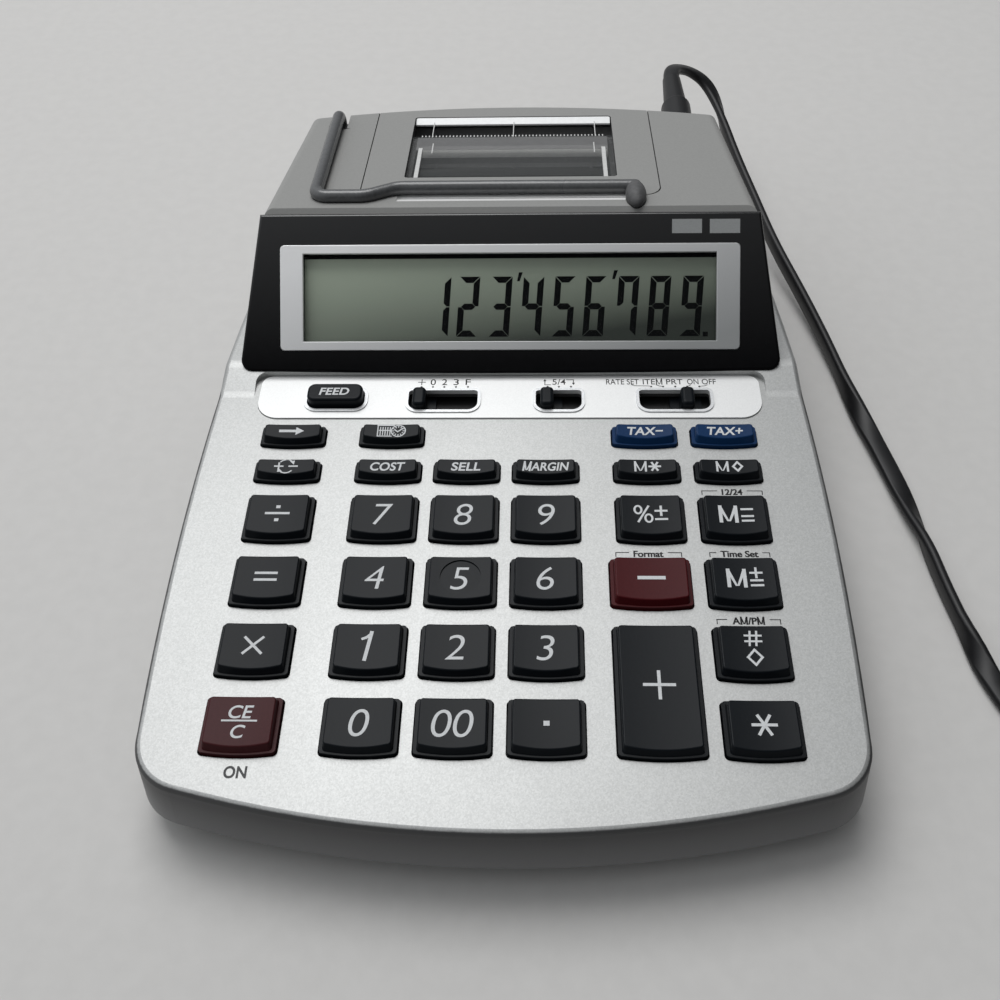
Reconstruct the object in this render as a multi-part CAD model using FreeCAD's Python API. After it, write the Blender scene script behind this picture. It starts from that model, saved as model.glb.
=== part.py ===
import FreeCAD, Part
import math
import os

# Desktop printing calculator, millimetres. X runs to the right, Y to the rear, Z up.
# The origin is on the table, under the middle of the case.

Vector = FreeCAD.Vector
os.makedirs("parts", exist_ok=True)

# Running gaps and walls
SEAT_GAP = 0.1
SLIDE_GAP = 0.3
KEY_GAP = 0.35
SHAFT_GAP = 0.05
WALL = 2.0
THROUGH = 40.0

# Case outline at the parting line
CASE_HALF_WIDTH = 77.6
CASE_FRONT_Y = -112.8
CASE_REAR_Y = 112.8
WIDEST_Y = -39.3
FRONT_ARC = 256.0
SIDE_ARC = 860.0
REAR_ARC = 264.0
FRONT_CORNER = 12.4
REAR_CORNER = 10.4
PARTING_Z = 7.5
FOOT_HEIGHT = 1.5
SKIRT_DRAFT = 4.5
TRAY_DRAFT = 14.0
TRAY_INSET = 1.2
TRAY_EDGE = 1.6
DECK_EDGE = 1.4

# Sloping key deck, display foot and level shelf
LIP_Y = -111.5
LIP_Z = 20.2
DECK_SLOPE = 3.0
CREASE_Y = 5.7
RISE_SLOPE = 20.0
SHELF_Z = 29.5
CREASE_BLEND = 7.0

# Display panel, drawn up its own slope
DISPLAY_FOOT_Y = 11.5
DISPLAY_FOOT_Z = 28.8
DISPLAY_TILT = 44.0
DISPLAY_LENGTH = 40.9
PANEL_FOOT_HALF = 70.1
PANEL_TOP_HALF = 64.5
PANEL_BOW = 0.9
PANEL_DEPTH = 2.4
PANEL_CORNER = 3.0
RING_HALF = 59.3
RING_LOW = 5.6
RING_HIGH = 32.9
RING_PROUD = 0.35
RING_SEAT = 1.0
RING_CORNER = 1.2
SCREEN_HALF = 53.25
SCREEN_LOW = 7.95
SCREEN_HIGH = 30.55
WINDOW_LAP = 0.9
WINDOW_THICK = 0.9
LCD_LAP = 2.3
LCD_THICK = 1.8

# Printer housing
ROOF_FALL = 6.5
HOUSING_HALF = 69.05
HOUSING_TAPER = 0.085
HOUSING_LEAN = 0.088
HOUSING_REAR_Y = 110.6
HOUSING_REAR_DRAFT = 6.5
HOUSING_WALL = 2.2
HOUSING_EDGE = 2.6
HOUSING_SEAT = 8.05
BAY_FRONT_Y = 27.0
BAY_REAR_Y = 98.0

# Printer cover and tear window, measured back along the roof
COVER_HALF = 40.0
COVER_FRONT = 9.2
COVER_SKIN = 2.0
COVER_PAD = 1.4
COVER_PAD_HALF = 36.4
COVER_PAD_REAR = 49.3
APRON_DROP = 5.4
LEDGE_WIDTH = 3.2
WINDOW_HALF = 28.8
WINDOW_FRONT = 20.2
WINDOW_REAR = 59.7
CUTTER_EDGE = 48.9
CUTTER_THICK = 1.1
CUTTER_LEDGE = 1.4
TOOTH_PITCH = 0.96
TOOTH_DEPTH = 0.7

# Paper arm, in the roof's own frame
ARM_RADIUS = 1.75
ARM_SIDE_X = -51.1
ARM_FRONT = 7.3
ARM_RUN = 11.9
ARM_JOG_START_X = -37.6
ARM_JOG_END_X = -29.6
ARM_PIVOT = 59.0
ARM_RISE = 1.2
ARM_PIVOT_DROP = 4.4
ARM_HUMP = 1.8
ARM_HUB_RADIUS = 2.7
ARM_HUB_HALF = 2.2
ARM_AXLE_RADIUS = 1.3
ARM_AXLE_REACH = 1.8
KNOB_X = 33.0
KNOB_BACK = 7.8
KNOB_RISE = 0.9
KNOB_RADIUS = 2.7
KNOB_HALF_LENGTH = 5.8
GROOVE_GAP = 0.2
GROOVE_SKIN = 1.2
CHANNEL_SPREAD = 3.8
RAMP_FRONT = 6.6
NOTCH_HALF = 2.7
NOTCH_FRONT = 52.6
NOTCH_DROP = 12.0

# Key grid, measured up the deck from the lip
KEY_PITCH_X = 19.05
COLUMN_0 = -53.2
COLUMN_2 = -9.57
COLUMN_4 = 33.8
COLUMN_WIDE = 32.8
COLUMN_5 = 53.26
ROW_6 = 15.5
ROW_PITCH = 18.0
ROW_2 = 87.4
ROW_1 = 98.9
KEY_WIDTH = 15.8
WIDE_KEY_WIDTH = 17.9
KEY_DEPTH = 13.05
LOW_KEY_DEPTH = 6.3
KEY_BOW = 0.7
KEY_CORNER = 0.8
SKIRT_TOP = 1.0
CAP_REAR_TOP = 3.1
CAP_FRONT_TOP = 2.8
CAP_LEDGE = 0.7
CAP_FRONT_SET = 1.55
CAP_REAR_SET = 1.0
CAP_SIDE_SET = 1.05
CAP_EDGE = 0.35
DISH_DEPTH = 0.28
DISH_STOCK = 0.5
KEY_FLANGE = 1.0
FLANGE_LAP = 0.8
KEY_TRAVEL = 2.5
RING_MARK_RADIUS = 4.6
RING_MARK_DEPTH = 0.18

# Switch plate with the feed key and the slide switches
PLATE_HALF = 64.1
PLATE_FRONT = 108.9
PLATE_REAR = 123.7
PLATE_THICK = 1.0
PLATE_SINK = 0.6
PLATE_MARGIN = 1.5
PLATE_FRONT_CORNER = 5.7
PLATE_REAR_CORNER = 3.0
RIM_WIDTH = 0.8
RIM_PROUD = 0.35
FEED_X = -44.1
FEED_WIDTH = 14.1
FEED_FRONT = 112.5
FEED_DEPTH = 5.9
FEED_TOP = 3.3
FEED_CORNER = 2.0
FEED_WELL_HALF = 7.4
SLOT_FRONT = 111.4
SLOT_REAR = 118.2
SLOT_FRONT_CORNER = 2.6
SLOT_REAR_CORNER = 0.9
SLIDER_WIDTH = 3.4
SLIDER_TOP = 2.7
SLIDER_BASE = 1.2
SLIDER_BASE_HALF = 4.0
SLIDER_CORNER = 1.1
SLIDER_ROUND = 0.9
STEP = 3.0
MODE_STEP = 3.07
SLOT_END_GAP = 1.15
DECIMAL_REST_X = -22.65
DECIMAL_STEPS = 4
ROUNDING_REST_X = 9.85
ROUNDING_STEPS = 2
MODE_REST_X = 45.35
MODE_STEPS_LEFT = 3
MODE_STEPS_RIGHT = 1

# Keypad sheet and circuit board
SHEET_TOP = -6.1
SHEET_THICK = 1.0
BOARD_THICK = 1.6
BOARD_HALF = 61.0
BOARD_FRONT = 8.0
BOARD_REAR = 122.0
SHEET_REAR = 108.0
BOARD_POST = 1.8
BOARD_POST_LEFT_X = -41.0
BOARD_POST_RIGHT_X = 20.6

# Bottom tray
FLOOR = 2.0
TONGUE_HEIGHT = 1.6
TONGUE_THICK = 1.4
BATTERY_HALF = 30.5
BATTERY_FRONT_Y = 18.0
BATTERY_REAR_Y = 74.0
BATTERY_TOP_Z = 19.3
BATTERY_WALL = 1.5
CONTACT_THICK = 0.5
CELL_PITCH = 15.0
LATCH_HALF = 9.0
FOOT_RADIUS = 6.0
FOOT_X = 54.0
FOOT_FRONT_Y = -90.0
FOOT_REAR_Y = 88.0
SCREW_RADIUS = 1.45
SCREW_HEAD_RADIUS = 2.8
SCREW_HEAD = 1.8
SCREW_LENGTH = 10.0
SCREW_COLUMN = 4.0
SCREW_POST = 3.2
SCREW_PLACES = [(66.2, -92.0), (64.4, 60.0), (40.0, 103.4)]

# Printing mechanism, in the roof's own frame apart from its base
MECHANISM_ROOF_GAP = 4.1
BASE_Z = 27.0
BASE_THICK = 1.6
BASE_HALF = 40.5
BASE_FRONT_Y = 47.0
BASE_REAR_Y = 97.5
SIDE_PLATE_X = 29.5
SIDE_PLATE_THICK = 1.3
SIDE_PLATE_FRONT = 17.3
SIDE_PLATE_REAR = 61.8
CHEEK_X = 27.3
CHEEK_THICK = 1.2
CHEEK_FRONT = 21.7
CHEEK_REAR = 36.9
DRUM_BACK = 31.8
DRUM_DROP = 13.2
DRUM_RADIUS = 4.8
FEED_ROLL_RADIUS = 4.6
INK_BACK = 24.7
INK_DROP = 8.8
INK_RADIUS = 3.2
SPINDLE = 1.2
GEAR_MODULE = 0.9
GEAR_TEETH = 18
GEAR_LEAN = 16.0
GEAR_THICK = 1.8
PLATEN_FRONT = 43.5
PLATEN_REAR = 51.3
PLATEN_DROP = 5.2
PLATEN_THICK = 1.8
CHUTE_TOP = 62.6
CHUTE_FOOT = 56.8
CHUTE_FOOT_DROP = 14.0
CHUTE_THICK = 1.2
RIB_X = 23.4
RIB_PROUD = 0.7
MOTOR_RADIUS = 6.0
MOTOR_HALF = 13.0
MOTOR_Y = 55.5
MECH_POST = 3.0
MECH_POST_X = 37.0
MECH_POST_FRONT_Y = 79.0
MECH_POST_REAR_Y = 93.0
INLET_HALF = 30.0
INLET_LOW_Z = 31.2
INLET_HIGH_Z = 36.0

# Power socket, plug, lead and wall adapter
SOCKET_X = 51.2
SOCKET_Z = 37.3
SOCKET_FACE_Y = 99.0
SOCKET_DEPTH = 12.0
SOCKET_HALF = 4.6
PLUG_BARREL = 2.75
PLUG_BARREL_LENGTH = 9.5
PLUG_RADIUS = 4.6
PLUG_COLLAR_Y = 128.0
PLUG_END_Y = 145.0
LEAD_RADIUS = 2.25
RELIEF_RADIUS = 2.9
LEAD_ROUTE = [
    (SOCKET_X, PLUG_END_Y, SOCKET_Z),
    (51.4, 150.5, 37.0),
    (53.2, 156.5, 35.6),
    (58.6, 160.8, 32.6),
    (64.6, 160.2, 29.0),
    (68.2, 153.6, 25.2),
    (70.4, 142.0, 20.8),
    (73.9, 128.5, 16.2),
    (78.0, 112.6, 12.2),
    (82.0, 94.0, 8.8),
    (87.8, 72.0, 6.2),
    (92.6, 50.0, 4.2),
    (96.2, 28.0, 2.5),
    (101.0, 5.0, 2.3),
    (104.8, -20.0, 2.3),
    (107.2, -45.0, 2.3),
    (112.6, -70.0, 2.3),
    (122.4, -89.0, 2.3),
    (138.0, -98.0, 2.3),
    (153.0, -99.6, 2.3),
]
COIL_TURNS = 2
COIL_LAYERS = 4
COIL_OUTER = 29.6
COIL_PITCH = 6.2
COIL_RISE = 5.2
COIL_TAIL = 24.0
ADAPTER_LENGTH = 62.0
ADAPTER_WIDTH = 46.0
ADAPTER_HEIGHT = 34.0
ADAPTER_CORNER = 4.0
ADAPTER_SHIFT = 12.0
RELIEF_LENGTH = 14.0
BLADE_LENGTH = 17.0
BLADE_WIDTH = 6.3
BLADE_THICK = 1.5
BLADE_SPACING = 12.7

# Values that follow from the sizes above
BAY_HALF = HOUSING_HALF - HOUSING_SEAT
FLANGE_TOP = -WALL - SLIDE_GAP
FLANGE_FOOT = FLANGE_TOP - KEY_FLANGE
BOARD_TOP = SHEET_TOP - SHEET_THICK
FLOOR_Z = FOOT_HEIGHT + FLOOR
GEAR_PITCH_RADIUS = GEAR_MODULE * GEAR_TEETH / 2
FEED_ROLL_BACK = DRUM_BACK + 2 * GEAR_PITCH_RADIUS * math.cos(math.radians(GEAR_LEAN))
FEED_ROLL_DROP = DRUM_DROP + 2 * GEAR_PITCH_RADIUS * math.sin(math.radians(GEAR_LEAN))
GROOVE_DEPTH = ARM_RADIUS + GROOVE_GAP - ARM_RISE
GEAR_X = SIDE_PLATE_X + SIDE_PLATE_THICK + SLIDE_GAP
SCREW_SEAT_Z = FLOOR_Z + WALL
SCREW_TOP_Z = SCREW_SEAT_Z + SCREW_LENGTH
CREST_Y = DISPLAY_FOOT_Y + DISPLAY_LENGTH * math.cos(math.radians(DISPLAY_TILT))
CREST_Z = DISPLAY_FOOT_Z + DISPLAY_LENGTH * math.sin(math.radians(DISPLAY_TILT))


# General helpers

def box(x0, x1, y0, y1, z0, z1):
    return Part.makeBox(x1 - x0, y1 - y0, z1 - z0, Vector(x0, y0, z0))


def post(radius, x, y, z0, z1):
    return Part.makeCylinder(radius, z1 - z0, Vector(x, y, z0))


def cross_rod(radius, x0, x1, y, z):
    return Part.makeCylinder(radius, x1 - x0, Vector(x0, y, z), Vector(1, 0, 0))


def fuse(shapes):
    """One solid from shapes that overlap."""
    joined = shapes[0].fuse(shapes[1:]) if len(shapes) > 1 else shapes[0]
    return joined.removeSplitter()


def mirrored(shape):
    return shape.mirror(Vector(0, 0, 0), Vector(1, 0, 0))


def both_sides(shape):
    return [shape, mirrored(shape)]


def face_of(points):
    """Flat face inside straight runs."""
    corners = [Vector(*point) for point in points]
    return Part.Face(Part.makePolygon(corners + corners[:1]))


def side_profile(points, half_width):
    """Outline in Y and Z, given thickness across X."""
    face = face_of([(-half_width, y, z) for y, z in points])
    return face.extrude(Vector(2 * half_width, 0, 0))


def leaning(shape, angle, y, z):
    """Tilt a shape drawn flat about X, then carry its origin to a place on the case."""
    moved = shape.copy()
    moved.rotate(Vector(0, 0, 0), Vector(1, 0, 0), angle)
    moved.translate(Vector(0, y, z))
    return moved


def on_deck(shape):
    return leaning(shape, DECK_SLOPE, LIP_Y, LIP_Z)


def on_display(shape):
    return leaning(shape, DISPLAY_TILT, DISPLAY_FOOT_Y, DISPLAY_FOOT_Z)


def on_roof(shape):
    return leaning(shape, -ROOF_FALL, CREST_Y, CREST_Z)


def rounded(solid, radius, wanted):
    """Round the edges that the test picks."""
    picked = [edge for edge in solid.Edges if wanted(edge)]
    return solid.makeFillet(radius, picked) if picked else solid


def is_upright(edge):
    """True where an edge runs mostly along Z."""
    ends = edge.Vertexes
    if len(ends) < 2:
        return False
    run = ends[1].Point.sub(ends[0].Point)
    return abs(run.z) > 0.7 * run.Length


def rounded_box(x0, x1, y0, y1, z0, z1, radius):
    return rounded(box(x0, x1, y0, y1, z0, z1), radius, is_upright)


def corner_box(x0, x1, y0, y1, z0, z1, front_radius, rear_radius):
    """Plate with one radius on its two front corners and another on its two rear corners."""
    plate = box(x0, x1, y0, y1, z0, z1)
    middle = (y0 + y1) / 2
    plate = rounded(plate, front_radius, lambda edge: is_upright(edge) and edge.CenterOfMass.y < middle)
    return rounded(plate, rear_radius, lambda edge: is_upright(edge) and edge.CenterOfMass.y > middle
                   and abs(edge.CenterOfMass.x - (x0 + x1) / 2) > (x1 - x0) / 2 - front_radius / 2)


def turn_between(before, corner, after):
    into = corner.sub(before).normalize()
    away = after.sub(corner).normalize()
    return into, away, into.getAngle(away)


def allowed_radius(before, corner, after):
    """Largest easy bend at a corner: 0.45 of the shorter run over the tangent of half the turn."""
    shorter = min(corner.sub(before).Length, after.sub(corner).Length)
    turn = turn_between(before, corner, after)[2]
    return 0.45 * shorter / math.tan(turn / 2)


def bent_path(points, radii):
    """Straight runs joined by tangent arcs, one radius for each inner point."""
    corners = [Vector(*point) for point in points]
    edges = []
    start = corners[0]
    for index in range(1, len(corners) - 1):
        into, away, turn = turn_between(corners[index - 1], corners[index], corners[index + 1])
        reach = radii[index - 1] * math.tan(turn / 2)
        arc_start = corners[index].sub(into * reach)
        arc_end = corners[index].add(away * reach)
        inward = away.sub(into).normalize()
        depth = radii[index - 1] / math.cos(turn / 2) - radii[index - 1]
        edges.append(Part.LineSegment(start, arc_start).toShape())
        edges.append(Part.Arc(arc_start, corners[index].add(inward * depth), arc_end).toShape())
        start = arc_end
    edges.append(Part.LineSegment(start, corners[-1]).toShape())
    return Part.Wire(edges)


def tube(path, radius):
    """Round bar along a path."""
    first = path.OrderedEdges[0]
    begin = first.valueAt(first.FirstParameter)
    heading = first.tangentAt(first.FirstParameter)
    ring = Part.Wire(Part.makeCircle(radius, begin, heading))
    return path.makePipeShell([ring], True, False)


# Case outline

def bowed_plan(inset, low_z, high_z, draft, level_z):
    """Solid inside the four bowed sides, narrowed by an inset at one level and leaning in above it."""
    lean = math.tan(math.radians(draft))

    def side(arc, x, y):
        low = arc - inset - (low_z - level_z) * lean
        high = arc - inset - (high_z - level_z) * lean
        return Part.makeCone(low, high, high_z - low_z, Vector(x, y, low_z))

    solid = side(FRONT_ARC, 0, CASE_FRONT_Y + FRONT_ARC)
    solid = solid.common(side(REAR_ARC, 0, CASE_REAR_Y - REAR_ARC))
    solid = solid.common(side(SIDE_ARC, CASE_HALF_WIDTH - SIDE_ARC, WIDEST_Y))
    solid = solid.common(side(SIDE_ARC, SIDE_ARC - CASE_HALF_WIDTH, WIDEST_Y))
    solid = rounded(solid, FRONT_CORNER - inset, lambda edge: is_upright(edge) and edge.CenterOfMass.y < 0)
    return rounded(solid, REAR_CORNER - inset, lambda edge: is_corner(edge, CASE_REAR_Y))


def is_corner(edge, rear_y):
    """True for the sharp upright edges near the rear of the case."""
    return is_upright(edge) and edge.CenterOfMass.y > rear_y * 0.8


def deck_profile(drop):
    """Side view of the space under the case's top face, lowered by a wall."""
    far = CASE_REAR_Y * 1.4
    slope = math.tan(math.radians(DECK_SLOPE))
    rise = math.tan(math.radians(RISE_SLOPE))
    crease_z = LIP_Z + (CREASE_Y - LIP_Y) * slope
    shelf_y = CREASE_Y + (SHELF_Z - crease_z) / rise
    points = [(0, -far, LIP_Z + (-far - LIP_Y) * slope), (0, CREASE_Y, crease_z), (0, shelf_y, SHELF_Z),
              (0, far, SHELF_Z)]
    points = [(x, y, z - drop) for x, y, z in points]
    top = bent_path(points, [CREASE_BLEND, CREASE_BLEND])
    low = Part.makePolygon([Vector(*points[-1]), Vector(0, far, 0), Vector(0, -far, 0), Vector(*points[0])])
    face = Part.Face(Part.Wire(top.Edges + low.Edges))
    half = CASE_HALF_WIDTH * 1.2
    face.translate(Vector(-half, 0, 0))
    return face.extrude(Vector(2 * half, 0, 0))


def case_block(inset, low_z, drop):
    block = bowed_plan(inset, low_z, SHELF_Z + WALL, SKIRT_DRAFT, PARTING_Z)
    return block.common(deck_profile(drop))


# Key shapes, in the deck's own frame

def key_outline(x, front, width, depth, grow, z):
    """Key plan with a bowed front edge."""
    half = width / 2 + grow
    low = front - grow
    high = front + depth + grow
    left = Vector(x - half, low + KEY_BOW, z)
    right = Vector(x + half, low + KEY_BOW, z)
    rear_right = Vector(x + half, high, z)
    rear_left = Vector(x - half, high, z)
    bow = Part.Arc(left, Vector(x, low, z), right).toShape()
    sides = Part.makePolygon([right, rear_right, rear_left, left]).Edges
    return Part.Wire([bow] + sides)


def key_block(x, front, width, depth, grow, z0, z1):
    block = Part.Face(key_outline(x, front, width, depth, grow, z0)).extrude(Vector(0, 0, z1 - z0))
    return rounded(block, KEY_CORNER + max(grow, 0), is_upright)


def key_cap(x, front, width, depth):
    """Tapered cap on its skirt, with a shallow dish from side to side."""
    foot = key_outline(x, front + CAP_LEDGE / 2, width - 2 * CAP_LEDGE, depth - CAP_LEDGE, 0, SKIRT_TOP)
    half_top = width / 2 - CAP_SIDE_SET
    head = key_outline(x, front + CAP_FRONT_SET, 2 * half_top, depth - CAP_FRONT_SET - CAP_REAR_SET, 0,
                       CAP_REAR_TOP + DISH_STOCK)
    cap = Part.makeLoft([foot, head], True, True)
    cap = rounded(cap, KEY_CORNER, is_upright)
    fall = math.degrees(math.atan((CAP_REAR_TOP - CAP_FRONT_TOP) / depth))
    radius = half_top ** 2 / (2 * DISH_DEPTH)
    dish = Part.makeCylinder(radius, 3 * depth, Vector(x, -2 * depth, radius - DISH_DEPTH), Vector(0, 1, 0))
    dish.rotate(Vector(x, 0, 0), Vector(1, 0, 0), fall)
    dish.translate(Vector(0, front + depth, CAP_REAR_TOP))
    cap = cap.cut(dish)
    return rounded(cap, CAP_EDGE, lambda edge: edge.BoundBox.ZMin > (SKIRT_TOP + CAP_REAR_TOP) / 2)


def key_base(x, front, width, depth):
    """Skirt that slides in the deck and the flange that keeps it in."""
    skirt = key_block(x, front, width, depth, 0, FLANGE_FOOT, SKIRT_TOP)
    flange = key_block(x, front, width, depth, FLANGE_LAP, FLANGE_FOOT, FLANGE_TOP)
    return skirt.fuse(flange)


def plain_key(x, front, width, depth):
    return on_deck(fuse([key_base(x, front, width, depth), key_cap(x, front, width, depth)]))


def ringed_key(x, front, width, depth):
    """Key with a round mark that a finger can feel."""
    cap = key_cap(x, front, width, depth)
    middle = front + CAP_FRONT_SET + (depth - CAP_FRONT_SET - CAP_REAR_SET) / 2
    level = (CAP_FRONT_TOP + CAP_REAR_TOP) / 2 - DISH_DEPTH
    disc = Part.makeCylinder(RING_MARK_RADIUS, CAP_REAR_TOP, Vector(x, middle, level - RING_MARK_DEPTH))
    return on_deck(fuse([key_base(x, front, width, depth), cap.cut(disc)]))


def feed_key():
    half = FEED_WIDTH / 2
    rear = FEED_FRONT + FEED_DEPTH
    body = rounded_box(FEED_X - half, FEED_X + half, FEED_FRONT, rear, FLANGE_FOOT, FEED_TOP, FEED_CORNER)
    body = rounded(body, CAP_EDGE * 2, lambda edge: edge.BoundBox.ZMin > FEED_TOP - SHAFT_GAP)
    flange = rounded_box(FEED_X - half - 2 * FLANGE_LAP, FEED_X + half + 2 * FLANGE_LAP,
                         FEED_FRONT - 2 * FLANGE_LAP, rear + 2 * FLANGE_LAP, FLANGE_FOOT, FLANGE_TOP,
                         FEED_CORNER)
    return on_deck(body.fuse(flange).removeSplitter())


def key_table():
    """Name, middle, front edge, width and depth of each key on the deck."""
    column_1 = COLUMN_2 - KEY_PITCH_X
    column_3 = COLUMN_2 + KEY_PITCH_X
    row_5 = ROW_6 + ROW_PITCH
    row_4 = row_5 + ROW_PITCH
    row_3 = row_4 + ROW_PITCH
    rows = [
        (ROW_1, LOW_KEY_DEPTH, {COLUMN_0: "shift", column_1: "clock", COLUMN_4: "tax_minus",
                                COLUMN_5: "tax_plus"}),
        (ROW_2, LOW_KEY_DEPTH, {COLUMN_0: "sign_change", column_1: "cost", COLUMN_2: "sell",
                                column_3: "margin", COLUMN_4: "memory_total", COLUMN_5: "memory_subtotal"}),
        (row_3, KEY_DEPTH, {COLUMN_0: "divide", column_1: "7", COLUMN_2: "8", column_3: "9",
                            COLUMN_4: "percent", COLUMN_5: "memory_add"}),
        (row_4, KEY_DEPTH, {COLUMN_0: "equals", column_1: "4", COLUMN_2: "5", column_3: "6",
                            COLUMN_WIDE: "minus", COLUMN_5: "memory_subtract"}),
        (row_5, KEY_DEPTH, {COLUMN_0: "multiply", column_1: "1", COLUMN_2: "2", column_3: "3",
                            COLUMN_5: "non_add"}),
        (ROW_6, KEY_DEPTH, {COLUMN_0: "clear", column_1: "0", COLUMN_2: "00", column_3: "point",
                            COLUMN_5: "total"}),
    ]
    keys = []
    for front, depth, row in rows:
        for x, name in row.items():
            width = WIDE_KEY_WIDTH if x == COLUMN_WIDE else KEY_WIDTH
            keys.append((name, x, front, width, depth))
    keys.append(("plus", COLUMN_WIDE, ROW_6, WIDE_KEY_WIDTH, ROW_PITCH + KEY_DEPTH))
    return keys


# Slide switches, in the deck's own frame

def slot_table():
    """Name, resting place, travel to the left and travel to the right of each slider."""
    return [
        ("decimal_slider", DECIMAL_REST_X, 0.0, DECIMAL_STEPS * STEP),
        ("rounding_slider", ROUNDING_REST_X, 0.0, ROUNDING_STEPS * STEP),
        ("mode_slider", MODE_REST_X, MODE_STEPS_LEFT * MODE_STEP, MODE_STEPS_RIGHT * MODE_STEP),
    ]


def slot_ends(rest_x, left, right):
    reach = SLIDER_WIDTH / 2 + SLOT_END_GAP
    return rest_x - left - reach, rest_x + right + reach


def slot_shape(x0, x1, grow, z0, z1):
    return corner_box(x0 - grow, x1 + grow, SLOT_FRONT - grow, SLOT_REAR + grow, z0, z1,
                      SLOT_FRONT_CORNER + grow, SLOT_REAR_CORNER + grow)


def feed_well(grow, z0, z1):
    margin = (SLOT_REAR - SLOT_FRONT - FEED_DEPTH) / 2 + SLIDE_GAP
    return rounded_box(FEED_X - FEED_WELL_HALF - grow, FEED_X + FEED_WELL_HALF + grow,
                       FEED_FRONT - margin - grow, FEED_FRONT + FEED_DEPTH + margin + grow, z0, z1,
                       FEED_CORNER + margin + grow)


def plate_holes(grow, z0, z1):
    """The feed key's well and the three slots, as solids to add or cut."""
    holes = [feed_well(grow, z0, z1)]
    for name, rest_x, left, right in slot_table():
        x0, x1 = slot_ends(rest_x, left, right)
        holes.append(slot_shape(x0, x1, grow, z0, z1))
    return holes


def switch_plate():
    top = PLATE_THICK - PLATE_SINK
    plate = corner_box(-PLATE_HALF, PLATE_HALF, PLATE_FRONT, PLATE_REAR, -PLATE_SINK, top,
                       PLATE_FRONT_CORNER, PLATE_REAR_CORNER)
    plate = plate.fuse(plate_holes(RIM_WIDTH, -PLATE_SINK, top + RIM_PROUD))
    return on_deck(plate.cut(plate_holes(0, -THROUGH, THROUGH)).removeSplitter())


def slider(rest_x):
    """Finger peg with the base that runs under the deck."""
    half = SLIDER_WIDTH / 2
    front = SLOT_FRONT + SLIDE_GAP
    rear = SLOT_REAR - SLIDE_GAP
    peg = rounded_box(rest_x - half, rest_x + half, front, rear, FLANGE_TOP - SLIDER_BASE / 2, SLIDER_TOP,
                      SLIDER_CORNER)
    peg = rounded(peg, SLIDER_ROUND, lambda edge: edge.BoundBox.ZMin > SLIDER_TOP - SHAFT_GAP)
    base = box(rest_x - SLIDER_BASE_HALF, rest_x + SLIDER_BASE_HALF, front - FLANGE_LAP, rear + FLANGE_LAP,
               FLANGE_TOP - SLIDER_BASE, FLANGE_TOP)
    return on_deck(peg.fuse(base).removeSplitter())


# Upper half of the case

def upper_housing():
    shell = case_block(0, PARTING_Z, 0)
    shell = rounded(shell, DECK_EDGE, is_deck_edge)
    cavity = case_block(WALL, PARTING_Z - WALL, WALL)
    shell = shell.cut(cavity)
    shell = shell.fuse(screw_posts())
    shell = shell.fuse([on_deck(post(BOARD_POST, x, y, BOARD_TOP, -WALL / 2)) for x, y in board_posts()])
    cuts = [printer_bay(), on_deck(plate_pocket())]
    cuts += [on_deck(key_block(x, front, width, depth, KEY_GAP, -THROUGH / 4, THROUGH / 4))
             for name, x, front, width, depth in key_table()]
    cuts += [on_deck(hole) for hole in plate_holes(0, -THROUGH / 4, THROUGH / 4)]
    cuts += [post(SCREW_RADIUS + SHAFT_GAP, x, y, PARTING_Z - WALL, SCREW_TOP_Z + SEAT_GAP)
             for x, y in screw_places()]
    return shell.cut(cuts).removeSplitter()


def is_deck_edge(edge):
    """True for the run of edges where the top face meets the drafted sides."""
    middle = edge.CenterOfMass
    box_ = edge.BoundBox
    level = LIP_Z + (middle.y - LIP_Y) * math.tan(math.radians(DECK_SLOPE))
    across = box_.XMin < -BAY_HALF and box_.XMax > BAY_HALF and box_.YLength < DECK_EDGE / 10
    return box_.ZMin > LIP_Z - DECK_EDGE and middle.z > level - DECK_EDGE and not across


def printer_bay():
    """Opening under the printer housing."""
    return rounded_box(-BAY_HALF, BAY_HALF, BAY_FRONT_Y, BAY_REAR_Y, PARTING_Z, SHELF_Z + THROUGH, WALL)


def plate_pocket():
    """Shallow seat for the switch plate, and the level floor cut into the rise behind it."""
    seat = corner_box(-PLATE_HALF - SEAT_GAP, PLATE_HALF + SEAT_GAP, PLATE_FRONT - SEAT_GAP,
                      PLATE_REAR + SEAT_GAP, -PLATE_SINK, PLATE_THICK, PLATE_FRONT_CORNER, PLATE_REAR_CORNER)
    floor = corner_box(-PLATE_HALF - PLATE_MARGIN, PLATE_HALF + PLATE_MARGIN, PLATE_FRONT - PLATE_MARGIN,
                       PLATE_REAR + SEAT_GAP, 0, THROUGH / 4, PLATE_FRONT_CORNER + PLATE_MARGIN,
                       PLATE_REAR_CORNER)
    return seat.fuse(floor)


def board_posts():
    return [(x, y) for x in (BOARD_POST_LEFT_X, BOARD_POST_RIGHT_X)
            for y in (ROW_6 + ROW_PITCH - BOARD_POST, ROW_2 - BOARD_POST)]


def screw_places():
    return [(side * x, y) for x, y in SCREW_PLACES for side in (-1, 1)]


def screw_posts():
    """Posts that hang from the top skin, cut to the skin's shape."""
    hanging = [post(SCREW_POST, x, y, PARTING_Z, SHELF_Z) for x, y in screw_places()]
    inside = case_block(WALL / 2, PARTING_Z, WALL / 2)
    return [column.common(inside) for column in hanging]


# Lower half of the case

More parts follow.
